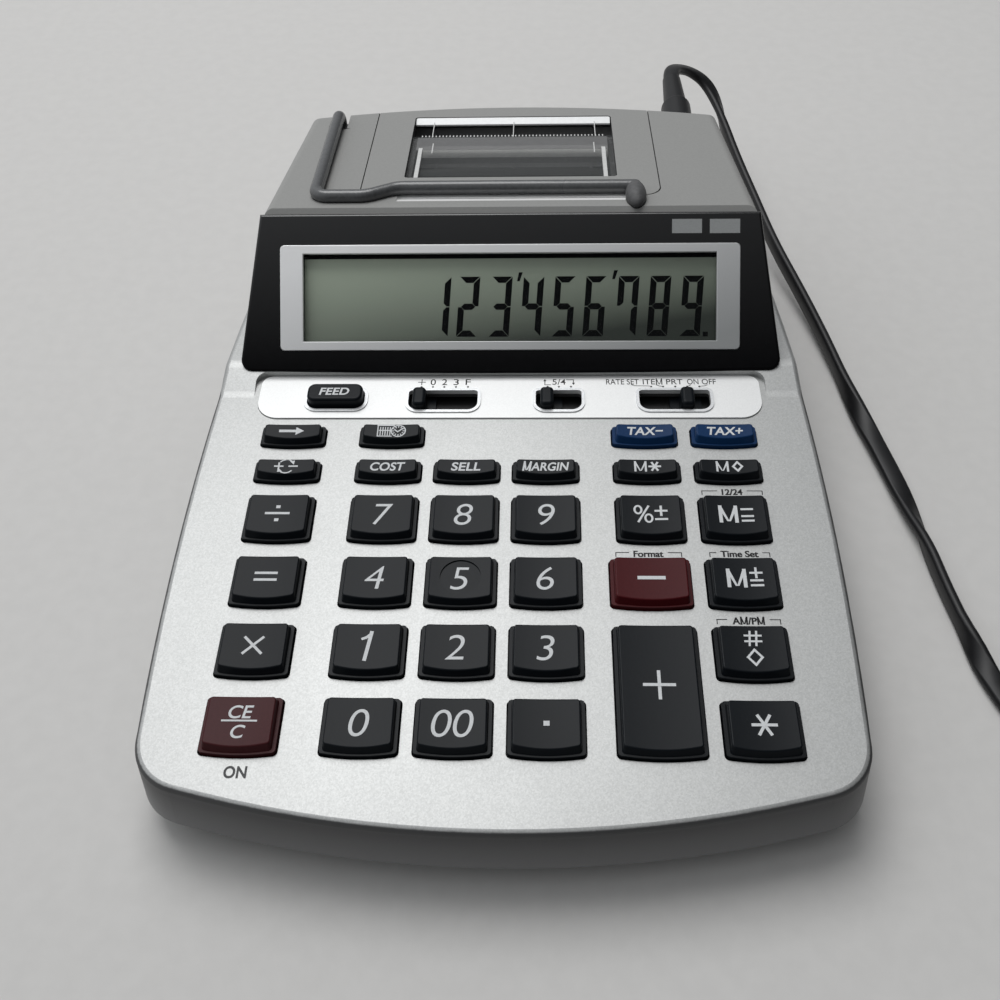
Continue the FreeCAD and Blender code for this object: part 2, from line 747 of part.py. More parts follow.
def lower_housing():
    shell = bowed_plan(TRAY_INSET, FOOT_HEIGHT, PARTING_Z, -TRAY_DRAFT, PARTING_Z)
    shell = rounded(shell, TRAY_EDGE, lambda edge: edge.BoundBox.ZMax < FOOT_HEIGHT + SHAFT_GAP)
    hollow = bowed_plan(TRAY_INSET + WALL, FLOOR_Z, PARTING_Z + WALL, -TRAY_DRAFT, PARTING_Z)
    shell = shell.cut(hollow)
    tongue = bowed_plan(WALL + SEAT_GAP, PARTING_Z - WALL, PARTING_Z + TONGUE_HEIGHT, SKIRT_DRAFT, PARTING_Z)
    tongue = tongue.cut(bowed_plan(WALL + SEAT_GAP + TONGUE_THICK, PARTING_Z - 2 * WALL,
                                   PARTING_Z + 2 * TONGUE_HEIGHT, SKIRT_DRAFT, PARTING_Z))
    tongue = tongue.cut([post(SCREW_POST + SLIDE_GAP, x, y, PARTING_Z, PARTING_Z + THROUGH)
                         for x, y in screw_places()])
    columns = [post(SCREW_COLUMN, x, y, FLOOR_Z - FLOOR / 2, PARTING_Z) for x, y in screw_places()]
    columns = [column.common(bowed_plan(TRAY_INSET + WALL / 2, FOOT_HEIGHT, PARTING_Z, -TRAY_DRAFT, PARTING_Z))
               for column in columns]
    supports = [post(MECH_POST, side * MECH_POST_X, y, FLOOR_Z - FLOOR / 2, BASE_Z)
                for side in (-1, 1) for y in (MECH_POST_FRONT_Y, MECH_POST_REAR_Y)]
    shell = shell.fuse([tongue] + columns + supports + [battery_box()])
    cuts = [battery_space(), battery_door_gap()]
    cuts += [post(SCREW_RADIUS + SLIDE_GAP, x, y, 0, THROUGH) for x, y in screw_places()]
    cuts += [post(SCREW_HEAD_RADIUS + SLIDE_GAP, x, y, 0, SCREW_SEAT_Z) for x, y in screw_places()]
    return shell.cut(cuts).removeSplitter()


def battery_box():
    return box(-BATTERY_HALF - BATTERY_WALL, BATTERY_HALF + BATTERY_WALL, BATTERY_FRONT_Y - BATTERY_WALL,
               BATTERY_REAR_Y + BATTERY_WALL, FOOT_HEIGHT, BATTERY_TOP_Z + BATTERY_WALL)


def battery_space():
    return box(-BATTERY_HALF, BATTERY_HALF, BATTERY_FRONT_Y, BATTERY_REAR_Y, 0, BATTERY_TOP_Z)


def door_outline(gap, z0, z1):
    """Battery door plan with a latch tongue at its front."""
    door = box(-BATTERY_HALF + gap, BATTERY_HALF - gap, BATTERY_FRONT_Y + gap, BATTERY_REAR_Y - gap, z0, z1)
    latch = rounded_box(-LATCH_HALF + gap, LATCH_HALF - gap, BATTERY_FRONT_Y - 3 * WALL + gap,
                        BATTERY_FRONT_Y + 2 * WALL, z0, z1, WALL)
    return door.fuse(latch)


def battery_door_gap():
    return door_outline(0, 0, FLOOR_Z)


def battery_cover():
    door = door_outline(SLIDE_GAP, FOOT_HEIGHT, FLOOR_Z - SEAT_GAP)
    count = 5
    spacing = 2 * WALL
    start = BATTERY_FRONT_Y + WALL
    for index in range(count):
        y = start + index * spacing
        door = door.cut(box(-LATCH_HALF, LATCH_HALF, y, y + WALL / 2, FOOT_HEIGHT, FOOT_HEIGHT + FLOOR / 4))
    return door.removeSplitter()


def rubber_feet():
    places = [(side * FOOT_X, y) for side in (-1, 1) for y in (FOOT_FRONT_Y, FOOT_REAR_Y)]
    feet = []
    for x, y in places:
        foot = post(FOOT_RADIUS, x, y, 0, FOOT_HEIGHT)
        feet.append(rounded(foot, FOOT_HEIGHT / 3, lambda edge: edge.BoundBox.ZMax < SHAFT_GAP))
    return Part.makeCompound(feet)


def case_screws():
    screws = []
    for x, y in screw_places():
        head = post(SCREW_HEAD_RADIUS, x, y, SCREW_SEAT_Z - SCREW_HEAD, SCREW_SEAT_Z)
        slot = box(x - SCREW_HEAD_RADIUS / 2, x + SCREW_HEAD_RADIUS / 2, y - SCREW_RADIUS / 4,
                   y + SCREW_RADIUS / 4, 0, SCREW_SEAT_Z - SCREW_HEAD / 2)
        across = slot.copy()
        across.rotate(Vector(x, y, 0), Vector(0, 0, 1), 90)
        shank = post(SCREW_RADIUS, x, y, SCREW_SEAT_Z, SCREW_TOP_Z)
        screws.append(head.cut([slot, across]).fuse(shank).removeSplitter())
    return Part.makeCompound(screws)


# Electronics

def keypad_membrane():
    """Rubber sheet over the board, with holes for the posts."""
    sheet = rounded_box(-BOARD_HALF + WALL, BOARD_HALF - WALL, BOARD_FRONT + WALL, SHEET_REAR, BOARD_TOP,
                        SHEET_TOP, WALL)
    holes = [post(BOARD_POST + SLIDE_GAP, x, y, BOARD_TOP - WALL, SHEET_TOP + WALL) for x, y in board_posts()]
    return on_deck(sheet.cut(holes))


def circuit_board():
    """Board, slide switches, power socket and battery contacts."""
    board = on_deck(rounded_box(-BOARD_HALF, BOARD_HALF, BOARD_FRONT, BOARD_REAR, BOARD_TOP - BOARD_THICK,
                                BOARD_TOP, WALL))
    solids = [board]
    switch_top = FLANGE_TOP - SLIDER_BASE - SEAT_GAP
    for name, rest_x, left, right in slot_table():
        x0, x1 = slot_ends(rest_x, left, right)
        body = box(x0 - WALL, x1 + WALL, SLOT_FRONT - WALL, SLOT_REAR + WALL, BOARD_TOP, switch_top)
        solids.append(on_deck(body))
    feed_switch = box(FEED_X - FEED_WELL_HALF, FEED_X + FEED_WELL_HALF, SLOT_FRONT - WALL, SLOT_REAR + WALL,
                      BOARD_TOP, FLANGE_FOOT - KEY_TRAVEL - SLIDE_GAP)
    solids.append(on_deck(feed_switch))
    solids.append(power_socket())
    return Part.makeCompound(solids + battery_contacts())


def power_socket():
    front = SOCKET_FACE_Y - HOUSING_WALL - SEAT_GAP
    shell = box(SOCKET_X - SOCKET_HALF, SOCKET_X + SOCKET_HALF, front - SOCKET_DEPTH, front,
                SOCKET_Z - SOCKET_HALF, SOCKET_Z + SOCKET_HALF)
    bore = Part.makeCylinder(PLUG_BARREL + SEAT_GAP, SOCKET_DEPTH - WALL, Vector(SOCKET_X, front, SOCKET_Z),
                             Vector(0, -1, 0))
    return shell.cut(bore)


def battery_contacts():
    """Sprung plates at both ends of each cell's place."""
    plates = []
    height = BATTERY_TOP_Z - FLOOR_Z - 3 * WALL
    for index in range(4):
        x = (index - 1.5) * CELL_PITCH
        for y in (BATTERY_FRONT_Y, BATTERY_REAR_Y - CONTACT_THICK):
            plates.append(box(x - CELL_PITCH / 4, x + CELL_PITCH / 4, y, y + CONTACT_THICK, FLOOR_Z + WALL,
                              FLOOR_Z + WALL + height))
    return plates


# Display

def panel_block():
    """Display panel: slightly wider at the foot, with a bowed foot edge and rounded foot corners."""
    low = -PANEL_BOW / 2
    left = Vector(-PANEL_FOOT_HALF, low + PANEL_BOW, -PANEL_DEPTH)
    right = Vector(PANEL_FOOT_HALF, low + PANEL_BOW, -PANEL_DEPTH)
    bow = Part.Arc(left, Vector(0, low, -PANEL_DEPTH), right).toShape()
    sides = Part.makePolygon([right, Vector(PANEL_TOP_HALF, DISPLAY_LENGTH, -PANEL_DEPTH),
                              Vector(-PANEL_TOP_HALF, DISPLAY_LENGTH, -PANEL_DEPTH), left]).Edges
    block = Part.Face(Part.Wire([bow] + sides)).extrude(Vector(0, 0, PANEL_DEPTH))
    return rounded(block, PANEL_CORNER, lambda edge: is_upright(edge) and edge.CenterOfMass.y < DISPLAY_LENGTH / 2)


def screen_box(grow, z0, z1):
    return box(-SCREEN_HALF - grow, SCREEN_HALF + grow, SCREEN_LOW - grow, SCREEN_HIGH + grow, z0, z1)


def ring_box(gap, z0, z1):
    return rounded_box(-RING_HALF + gap, RING_HALF - gap, RING_LOW + gap, RING_HIGH - gap, z0, z1, RING_CORNER)


def display_bezel():
    """Dark panel and the bright ring set into it."""
    panel = panel_block()
    panel = rounded(panel, PANEL_DEPTH / 3, lambda edge: edge.BoundBox.ZMin > -SHAFT_GAP)
    panel = panel.cut([ring_box(0, -RING_SEAT, WALL), screen_box(WINDOW_LAP + SEAT_GAP, -THROUGH, WALL)])
    panel = on_display(panel).cut(deck_profile(0))
    ring = ring_box(SEAT_GAP, -RING_SEAT, RING_PROUD).cut(screen_box(0, -WALL, WALL))
    ring = rounded(ring, RING_PROUD / 2, lambda edge: edge.BoundBox.ZMin > RING_PROUD - SHAFT_GAP)
    return Part.makeCompound([panel.removeSplitter(), on_display(ring)])


def display_window():
    return on_display(screen_box(WINDOW_LAP, -RING_SEAT - WINDOW_THICK, -RING_SEAT))


def lcd_panel():
    return on_display(screen_box(LCD_LAP, -PANEL_DEPTH - LCD_THICK, -PANEL_DEPTH))


# Printer housing

def housing_half(y, z):
    """Half width of the printer housing at a place on its leaning side."""
    return HOUSING_HALF - HOUSING_TAPER * (y - DISPLAY_FOOT_Y) - HOUSING_LEAN * (z - SHELF_Z)


def housing_block(inset, open_below):
    """Wedge-shaped block with leaning sides and a bowed rear, thinned by an inset."""
    low_z = SHELF_Z - open_below
    high_z = CREST_Z + HOUSING_WALL
    display_lean = math.radians(DISPLAY_TILT)
    depth = PANEL_DEPTH + inset
    foot_y = DISPLAY_FOOT_Y + depth * math.sin(display_lean)
    foot_z = DISPLAY_FOOT_Z - depth * math.cos(display_lean)
    roof = math.tan(math.radians(ROOF_FALL))
    far_y = HOUSING_REAR_Y * 1.3

    def front_y(z):
        return foot_y + (z - foot_z) / math.tan(display_lean)

    def roof_z(y):
        return CREST_Z - (y - CREST_Y) * roof - inset / math.cos(math.radians(ROOF_FALL))

    # The front face and the roof meet where both heights agree.
    crest_y = (CREST_Z + CREST_Y * roof - inset / math.cos(math.radians(ROOF_FALL)) - foot_z
               + foot_y * math.tan(display_lean)) / (math.tan(display_lean) + roof)
    profile = [(front_y(low_z), low_z), (crest_y, roof_z(crest_y)), (far_y, roof_z(far_y)), (far_y, low_z)]
    block = side_profile(profile, CASE_HALF_WIDTH)

    near_y = -HOUSING_WALL
    corners = [(near_y, low_z), (far_y, low_z), (far_y, high_z), (near_y, high_z)]
    left = [Vector(inset - housing_half(y, z), y, z) for y, z in corners]
    right = [Vector(housing_half(y, z) - inset, y, z) for y, z in corners]
    faces = [Part.Face(Part.makePolygon(left + left[:1])), Part.Face(Part.makePolygon(right + right[:1]))]
    for index in range(4):
        after = (index + 1) % 4
        loop = [left[index], left[after], right[after], right[index], left[index]]
        faces.append(Part.Face(Part.makePolygon(loop)))
    sides = Part.Solid(Part.Shell(faces))
    lean = math.tan(math.radians(HOUSING_REAR_DRAFT))
    low_radius = REAR_ARC - inset + open_below * lean
    rear = Part.makeCone(low_radius, low_radius - (high_z - low_z) * lean, high_z - low_z,
                         Vector(0, HOUSING_REAR_Y - REAR_ARC, low_z))
    return block.common(sides).common(rear)


def outer_housing_block():
    """The block with its roof edges and rear corners rounded."""
    block = housing_block(0, 0)
    block = rounded(block, HOUSING_EDGE, lambda edge: is_upright(edge)
                    and edge.CenterOfMass.y > (CREST_Y + HOUSING_REAR_Y) / 2)
    return rounded(block, HOUSING_EDGE, is_roof_edge)


def is_roof_edge(edge):
    """True for the roof's side and rear edges, not for its front edge behind the display."""
    middle = edge.CenterOfMass
    roof_z = CREST_Z - (middle.y - CREST_Y) * math.tan(math.radians(ROOF_FALL))
    return abs(middle.z - roof_z) < WALL and middle.y > CREST_Y + HOUSING_EDGE * 3


def cover_region(gap, drop):
    """Space that the sliding cover takes in the roof and the rear wall."""
    region = rounded_box(-COVER_HALF + gap, COVER_HALF - gap, COVER_FRONT + gap, CASE_REAR_Y, -drop, THROUGH,
                         HOUSING_WALL * 2)
    return on_roof(region)


def printer_housing():
    outer = outer_housing_block()
    shell = outer.cut(housing_block(HOUSING_WALL, HOUSING_WALL))
    pads = [on_roof(pad) for pad in housing_pads()] + [socket_pad(), notch_box()]
    shell = shell.fuse([pad.common(outer) for pad in pads])
    shell = shell.cut([cover_region(0, APRON_DROP), lcd_passage(), paper_inlet(), socket_hole(), notch_space()]
                      + [on_roof(cut) for cut in arm_clearance()])
    shell = shell.fuse([on_roof(ledge) for ledge in cover_ledges()] + housing_clips())
    return shell.removeSplitter()


def housing_pads():
    """Thicker places under the roof that the arm's groove and the knob's hollow need."""
    depth = GROOVE_DEPTH + GROOVE_SKIN
    inner = ARM_SIDE_X - ARM_RADIUS - GROOVE_GAP
    leg = box(inner, ARM_SIDE_X + CHANNEL_SPREAD, HOUSING_WALL, NOTCH_FRONT + HOUSING_WALL, -depth, 0)
    run = box(inner, -COVER_HALF - SLIDE_GAP, HOUSING_WALL, ARM_RUN + depth, -depth, 0)
    ramp = box(inner, KNOB_X, HOUSING_WALL, COVER_FRONT - SEAT_GAP, -depth, 0)
    knob_depth = KNOB_RADIUS - KNOB_RISE + GROOVE_GAP + GROOVE_SKIN
    hollow = box(KNOB_X - KNOB_RADIUS - depth, KNOB_X + KNOB_RADIUS + depth, HOUSING_WALL,
                 COVER_FRONT - SEAT_GAP, -knob_depth, 0)
    return [leg, run, ramp, hollow]


def cover_ledges():
    """Rails that carry the cover's side edges."""
    start = ARM_RUN + 2 * ARM_RADIUS + GROOVE_GAP
    top = -COVER_SKIN - SEAT_GAP
    rail = box(COVER_HALF - LEDGE_WIDTH, COVER_HALF + HOUSING_WALL, start, WINDOW_REAR - HOUSING_WALL,
               top - HOUSING_WALL, top)
    return both_sides(rail)


def housing_clips():
    """Four tabs that hook under the edge of the opening in the case."""
    tab_x = BAY_HALF - SEAT_GAP - WALL
    clips = []
    for y in (BAY_FRONT_Y + 6 * WALL, BAY_REAR_Y - 12 * WALL):
        rear = y + 4 * WALL
        wall_x = housing_half(rear, SHELF_Z + WALL) - HOUSING_WALL / 2
        tab = box(tab_x, tab_x + WALL, y, rear, SHELF_Z - 2 * WALL, SHELF_Z + WALL)
        bridge = box(tab_x, wall_x, y, rear, SHELF_Z, SHELF_Z + WALL)
        hook = box(tab_x, BAY_HALF + WALL / 2, y, rear, SHELF_Z - 2 * WALL, SHELF_Z - WALL - SEAT_GAP)
        clips += both_sides(tab.fuse([bridge, hook]))
    return clips


def lcd_passage():
    """Opening in the front wall that the screen sits in."""
    return on_display(screen_box(LCD_LAP + SLIDE_GAP, -PANEL_DEPTH - 2 * HOUSING_WALL, -PANEL_DEPTH + WALL))


def paper_inlet():
    """Slot in the rear wall where the paper roll feeds in."""
    return box(-INLET_HALF, INLET_HALF, BASE_REAR_Y + WALL, CASE_REAR_Y + THROUGH, INLET_LOW_Z, INLET_HIGH_Z)


def socket_pad():
    """Flat boss on the inside of the rear wall behind the power socket's hole."""
    reach = SOCKET_HALF + WALL
    return box(SOCKET_X - reach, SOCKET_X + reach, SOCKET_FACE_Y - HOUSING_WALL, HOUSING_REAR_Y,
               SOCKET_Z - reach, SOCKET_Z + reach)


def socket_hole():
    return Part.makeCylinder(PLUG_RADIUS + SLIDE_GAP, THROUGH, Vector(SOCKET_X, SOCKET_FACE_Y, SOCKET_Z),
                             Vector(0, 1, 0)).fuse(
        Part.makeCylinder(PLUG_BARREL + SLIDE_GAP, THROUGH, Vector(SOCKET_X, SOCKET_FACE_Y - 2 * WALL, SOCKET_Z),
                          Vector(0, 1, 0)))


# Paper arm

def arm_path():
    """Centre line from the pivot up, forward along the roof, round the corner and across."""
    points = [
        (ARM_SIDE_X, ARM_PIVOT, -ARM_PIVOT_DROP),
        (ARM_SIDE_X, ARM_PIVOT, ARM_HUMP),
        (ARM_SIDE_X, ARM_FRONT, ARM_RISE),
        (ARM_JOG_START_X, ARM_FRONT, ARM_RISE),
        (ARM_JOG_END_X, ARM_RUN, ARM_RISE),
        (KNOB_X, ARM_RUN, ARM_RISE),
    ]
    corner = 2 * ARM_RADIUS
    easy = 4 * ARM_RADIUS
    return bent_path(points, [corner * 0.9, corner, easy, easy])


def arm_rod(radius):
    """Rod along the arm's centre line, with a round end inside the knob."""
    end = Part.makeSphere(radius, Vector(KNOB_X, ARM_RUN, ARM_RISE))
    return tube(arm_path(), radius).fuse(end)


def egg(radius, half_length):
    """Egg-shaped knob, longer along Y."""
    stretch = FreeCAD.Matrix()
    stretch.scale(Vector(1, half_length / radius, 1))
    ball = Part.makeSphere(radius).transformGeometry(stretch)
    ball.translate(Vector(KNOB_X, KNOB_BACK, KNOB_RISE))
    return ball


def paper_arm():
    rod = arm_rod(ARM_RADIUS)
    hub = cross_rod(ARM_HUB_RADIUS, ARM_SIDE_X - ARM_HUB_HALF, ARM_SIDE_X + ARM_HUB_HALF, ARM_PIVOT,
                    -ARM_PIVOT_DROP)
    reach = NOTCH_HALF + ARM_AXLE_REACH
    axle = cross_rod(ARM_AXLE_RADIUS, ARM_SIDE_X - reach + SLIDE_GAP, ARM_SIDE_X + reach - SLIDE_GAP, ARM_PIVOT,
                     -ARM_PIVOT_DROP)
    return on_roof(fuse([rod, hub, axle, egg(KNOB_RADIUS, KNOB_HALF_LENGTH)]))


def arm_clearance():
    """Groove, knob hollow, ramp and side channel around the resting arm, and the holes for its axle."""
    groove = arm_rod(ARM_RADIUS + GROOVE_GAP)
    hollow = egg(KNOB_RADIUS + GROOVE_GAP, KNOB_HALF_LENGTH + GROOVE_GAP)
    depth = GROOVE_DEPTH
    ramp = [(RAMP_FRONT, 0), (COVER_FRONT, -depth), (ARM_RUN, -depth), (ARM_RUN, depth), (RAMP_FRONT, depth)]
    face = face_of([(ARM_JOG_END_X, y, z) for y, z in ramp])
    wedge = face.extrude(Vector(KNOB_X - ARM_JOG_END_X, 0, 0))
    bank = [(0, -depth), (ARM_RADIUS, -depth / 2), (CHANNEL_SPREAD, 0), (CHANNEL_SPREAD, depth), (0, depth)]
    face = face_of([(ARM_SIDE_X + x, ARM_FRONT, z) for x, z in bank])
    channel = face.extrude(Vector(0, NOTCH_FRONT - ARM_FRONT, 0))
    reach = ARM_AXLE_REACH + NOTCH_HALF
    axle = cross_rod(ARM_AXLE_RADIUS + SHAFT_GAP, ARM_SIDE_X - reach, ARM_SIDE_X + reach, ARM_PIVOT,
                     -ARM_PIVOT_DROP)
    return [groove, hollow, wedge, channel, axle]


def arm_trough():
    """Space in front of the arm that lets the cover slide back from under it."""
    plan = [(ARM_JOG_START_X, ARM_FRONT), (KNOB_X, ARM_FRONT), (KNOB_X, ARM_RUN), (ARM_JOG_END_X, ARM_RUN)]
    return face_of([(x, y, -GROOVE_DEPTH) for x, y in plan]).extrude(Vector(0, 0, 2 * GROOVE_DEPTH))


def notch_box():
    """Walls of the pocket that the arm's hub turns in."""
    skin = ARM_AXLE_REACH + WALL / 2
    return on_roof(box(ARM_SIDE_X - NOTCH_HALF - skin, ARM_SIDE_X + NOTCH_HALF + skin, NOTCH_FRONT - WALL,
                       CASE_REAR_Y, -NOTCH_DROP - WALL, 0))


def notch_space():
    return on_roof(box(ARM_SIDE_X - NOTCH_HALF, ARM_SIDE_X + NOTCH_HALF, NOTCH_FRONT, CASE_REAR_Y, -NOTCH_DROP,
                       THROUGH))


# Printer cover and tear window

def printer_cover():
    outer = outer_housing_block()
    skin = outer.cut(housing_block(COVER_SKIN, COVER_SKIN)).common(cover_region(SLIDE_GAP, APRON_DROP - SLIDE_GAP))
    pad = on_roof(box(-COVER_PAD_HALF, COVER_PAD_HALF, COVER_FRONT + SLIDE_GAP, COVER_PAD_REAR,
                      -COVER_SKIN - COVER_PAD, -COVER_SKIN / 2))
    cover = skin.fuse(pad)
    window = rounded_box(-WINDOW_HALF, WINDOW_HALF, WINDOW_FRONT, WINDOW_REAR, -COVER_SKIN, THROUGH, WALL / 2)
    below = box(-WINDOW_HALF + CUTTER_LEDGE, WINDOW_HALF - CUTTER_LEDGE, WINDOW_FRONT + CUTTER_LEDGE,
                WINDOW_REAR, -COVER_SKIN - 2 * COVER_PAD, 0)
    cuts = [window, below, arm_trough()] + arm_clearance()
    return cover.cut([on_roof(cut) for cut in cuts]).removeSplitter()


def paper_cutter():
    """Clear window plate with a row of tearing teeth along its rear edge."""
    half = WINDOW_HALF - SEAT_GAP
    front = WINDOW_FRONT + SEAT_GAP
    root = CUTTER_EDGE - TOOTH_DEPTH
    count = int(2 * (half - WALL) / TOOTH_PITCH)
    start = -count * TOOTH_PITCH / 2
    corner = WALL / 2
    outline = [(half, root), (half, front + corner), (half - corner, front), (corner - half, front),
               (-half, front + corner), (-half, root)]
    for index in range(count):
        x = start + index * TOOTH_PITCH
        outline += [(x, root), (x + TOOTH_PITCH / 2, CUTTER_EDGE)]
    outline.append((start + count * TOOTH_PITCH, root))
    face = face_of([(x, y, -COVER_SKIN) for x, y in outline])
    return on_roof(face.extrude(Vector(0, 0, CUTTER_THICK)))


# Printing mechanism

def printer_frame():
    """Base, side plates, cheeks, platen and paper chute in one frame, with the motor on its base."""
    base = box(-BASE_HALF, BASE_HALF, BASE_FRONT_Y, BASE_REAR_Y, BASE_Z, BASE_Z + BASE_THICK)
    outer = SIDE_PLATE_X + SIDE_PLATE_THICK
    plate = on_roof(box(SIDE_PLATE_X, outer, SIDE_PLATE_FRONT, SIDE_PLATE_REAR, -THROUGH, -MECHANISM_ROOF_GAP))
    cheek = on_roof(box(CHEEK_X, CHEEK_X + CHEEK_THICK, CHEEK_FRONT, CHEEK_REAR, -THROUGH, -MECHANISM_ROOF_GAP))
    above = box(0, CASE_HALF_WIDTH, BASE_FRONT_Y, BASE_REAR_Y, BASE_Z, CREST_Z).fuse(
        box(0, CASE_HALF_WIDTH, BASE_REAR_Y, CASE_REAR_Y, SHELF_Z + SLIDE_GAP, CREST_Z))
    platen = on_roof(box(-outer, outer, PLATEN_FRONT, PLATEN_REAR, -PLATEN_DROP - PLATEN_THICK, -PLATEN_DROP))
    frame = fuse([base, platen, paper_chute()] + both_sides(plate.common(above))
                 + both_sides(cheek.common(above)))
    bores = [(DRUM_BACK, DRUM_DROP), (FEED_ROLL_BACK, FEED_ROLL_DROP), (INK_BACK, INK_DROP)]
    holes = [on_roof(cross_rod(SPINDLE + SHAFT_GAP, -THROUGH, THROUGH, back, -drop)) for back, drop in bores]
    frame = frame.cut(holes + [gear_slot()])
    motor = cross_rod(MOTOR_RADIUS, -MOTOR_HALF, MOTOR_HALF, MOTOR_Y, BASE_Z + BASE_THICK + MOTOR_RADIUS)
    return Part.makeCompound([frame, motor])


def gear_slot():
    """Slot in the base that the feed roller's gear dips into."""
    middle = on_roof(Part.Vertex(0, FEED_ROLL_BACK, -FEED_ROLL_DROP)).Point
    reach = GEAR_PITCH_RADIUS + GEAR_MODULE + SLIDE_GAP
    return box(GEAR_X - SLIDE_GAP, GEAR_X + GEAR_THICK + SLIDE_GAP, middle.y - reach, middle.y + reach,
               middle.z - reach, middle.z)


def paper_chute():
    """Sloping guide behind the paper's way out, with three upright ribs."""
    top = -MECHANISM_ROOF_GAP
    foot = -CHUTE_FOOT_DROP
    half = SIDE_PLATE_X + SIDE_PLATE_THICK / 2
    sheet = [(CHUTE_FOOT, foot), (CHUTE_TOP, top), (CHUTE_TOP - CHUTE_THICK, top), (CHUTE_FOOT - CHUTE_THICK, foot)]
    solids = [face_of([(-half, y, z) for y, z in sheet]).extrude(Vector(2 * half, 0, 0))]
    front = CHUTE_THICK + RIB_PROUD
    rib = [(CHUTE_FOOT - CHUTE_THICK / 2, foot), (CHUTE_TOP - CHUTE_THICK / 2, top), (CHUTE_TOP - front, top),
           (CHUTE_FOOT - front, foot)]
    for x in (-RIB_X, 0, RIB_X):
        solids.append(face_of([(x - RIB_PROUD / 2, y, z) for y, z in rib]).extrude(Vector(RIB_PROUD, 0, 0)))
    return on_roof(fuse(solids))


def roller(radius, back, drop, half_length, axle_half):
    barrel = cross_rod(radius, -half_length, half_length, back, -drop)
    axle = cross_rod(SPINDLE, -axle_half, axle_half, back, -drop)
    return barrel.fuse(axle)


def gear(back, drop, lean, first_tooth):
    """Spur gear on an axle's right end, turned so that a tooth or a gap faces its mate."""
    addendum = GEAR_MODULE * 0.85
    dedendum = GEAR_MODULE * 1.15
    tip = GEAR_PITCH_RADIUS + addendum
    root = GEAR_PITCH_RADIUS - dedendum
    step = 2 * math.pi / GEAR_TEETH
    points = []
    for index in range(GEAR_TEETH):
        middle = math.radians(lean) + (index + first_tooth) * step
        for radius, part in ((root, -0.27), (tip, -0.11), (tip, 0.11), (root, 0.27)):
            angle = middle + part * step
            points.append((GEAR_X, back + radius * math.cos(angle), -drop - radius * math.sin(angle)))
    return face_of(points).extrude(Vector(GEAR_THICK, 0, 0))


def type_drum():
    axle_end = GEAR_X + GEAR_THICK + SLIDE_GAP
    drum = roller(DRUM_RADIUS, DRUM_BACK, DRUM_DROP, CHEEK_X - SLIDE_GAP, axle_end)
    return on_roof(fuse([drum, gear(DRUM_BACK, DRUM_DROP, GEAR_LEAN, 0)]))


def feed_roller():
    axle_end = GEAR_X + GEAR_THICK + SLIDE_GAP
    roll = roller(FEED_ROLL_RADIUS, FEED_ROLL_BACK, FEED_ROLL_DROP, SIDE_PLATE_X - SLIDE_GAP, axle_end)
    return on_roof(fuse([roll, gear(FEED_ROLL_BACK, FEED_ROLL_DROP, 180 + GEAR_LEAN, 0.5)]))


def ink_roller():
    return on_roof(roller(INK_RADIUS, INK_BACK, INK_DROP, CHEEK_X - SLIDE_GAP, CHEEK_X + CHEEK_THICK))


# Plug, lead, coil and adapter

def dc_plug():
    """Round plug in the socket, with a wide collar and a tapered strain relief."""
    axis = Vector(0, 1, 0)
    face_y = SOCKET_FACE_Y + SEAT_GAP
    barrel = Part.makeCylinder(PLUG_BARREL, PLUG_BARREL_LENGTH, Vector(SOCKET_X, face_y - PLUG_BARREL_LENGTH,
                                                                      SOCKET_Z), axis)
    grip = Part.makeCylinder(PLUG_RADIUS, PLUG_COLLAR_Y - face_y, Vector(SOCKET_X, face_y, SOCKET_Z), axis)
    grip = rounded(grip, PLUG_RADIUS / 5, lambda edge: edge.CenterOfMass.y > PLUG_COLLAR_Y - SHAFT_GAP)
    relief = Part.makeCone(PLUG_RADIUS * 0.8, RELIEF_RADIUS, PLUG_END_Y - PLUG_COLLAR_Y,
                           Vector(SOCKET_X, PLUG_COLLAR_Y, SOCKET_Z), axis)
    return fuse([barrel, grip, relief])


def lead():
    """Free lead from the plug to the coil. Prints the bend at each corner of the route."""
    corners = [Vector(*point) for point in LEAD_ROUTE]
    radii = [allowed_radius(*corners[index - 1:index + 2]) for index in range(1, len(corners) - 1)]
    path = bent_path(LEAD_ROUTE, radii)
    print("lead bend radii", [round(radius, 1) for radius in radii])
    solid = tube(path, LEAD_RADIUS)
    expected = math.pi * LEAD_RADIUS ** 2 * path.Length
    print("lead length", round(path.Length, 1), "volume over section times length",
          round(solid.Volume / expected, 4))
    return solid, path.Length


def biarc(start, heading, end, arrival):
    """Two arcs that leave the start and reach the end along given directions."""
    across = end.sub(start)
    both = heading.add(arrival)
    a = 2 * (1 - heading.dot(arrival))
    b = 2 * across.dot(both)
    c = -across.dot(across)
    reach = (-b + math.sqrt(b * b - 4 * a * c)) / (2 * a)
    first = start.add(heading * reach)
    second = end.sub(arrival * reach)
    middle = (first + second) * 0.5
    return [tangent_arc(start, heading, middle), tangent_arc(middle, second.sub(first).normalize(), end)]


def tangent_arc(start, heading, end):
    """Arc that leaves the start along a direction and passes through the end."""
    across = end.sub(start)
    side = across.sub(heading * across.dot(heading)).normalize()
    radius = across.dot(across) / (2 * across.dot(side))
    centre = start.add(side * radius)
    half_turn = math.atan2(across.dot(heading), radius - across.dot(side)) / 2
    mid = centre.add((heading * math.sin(half_turn)).sub(side * math.cos(half_turn)) * radius)
    return Part.Arc(start, mid, end).toShape()


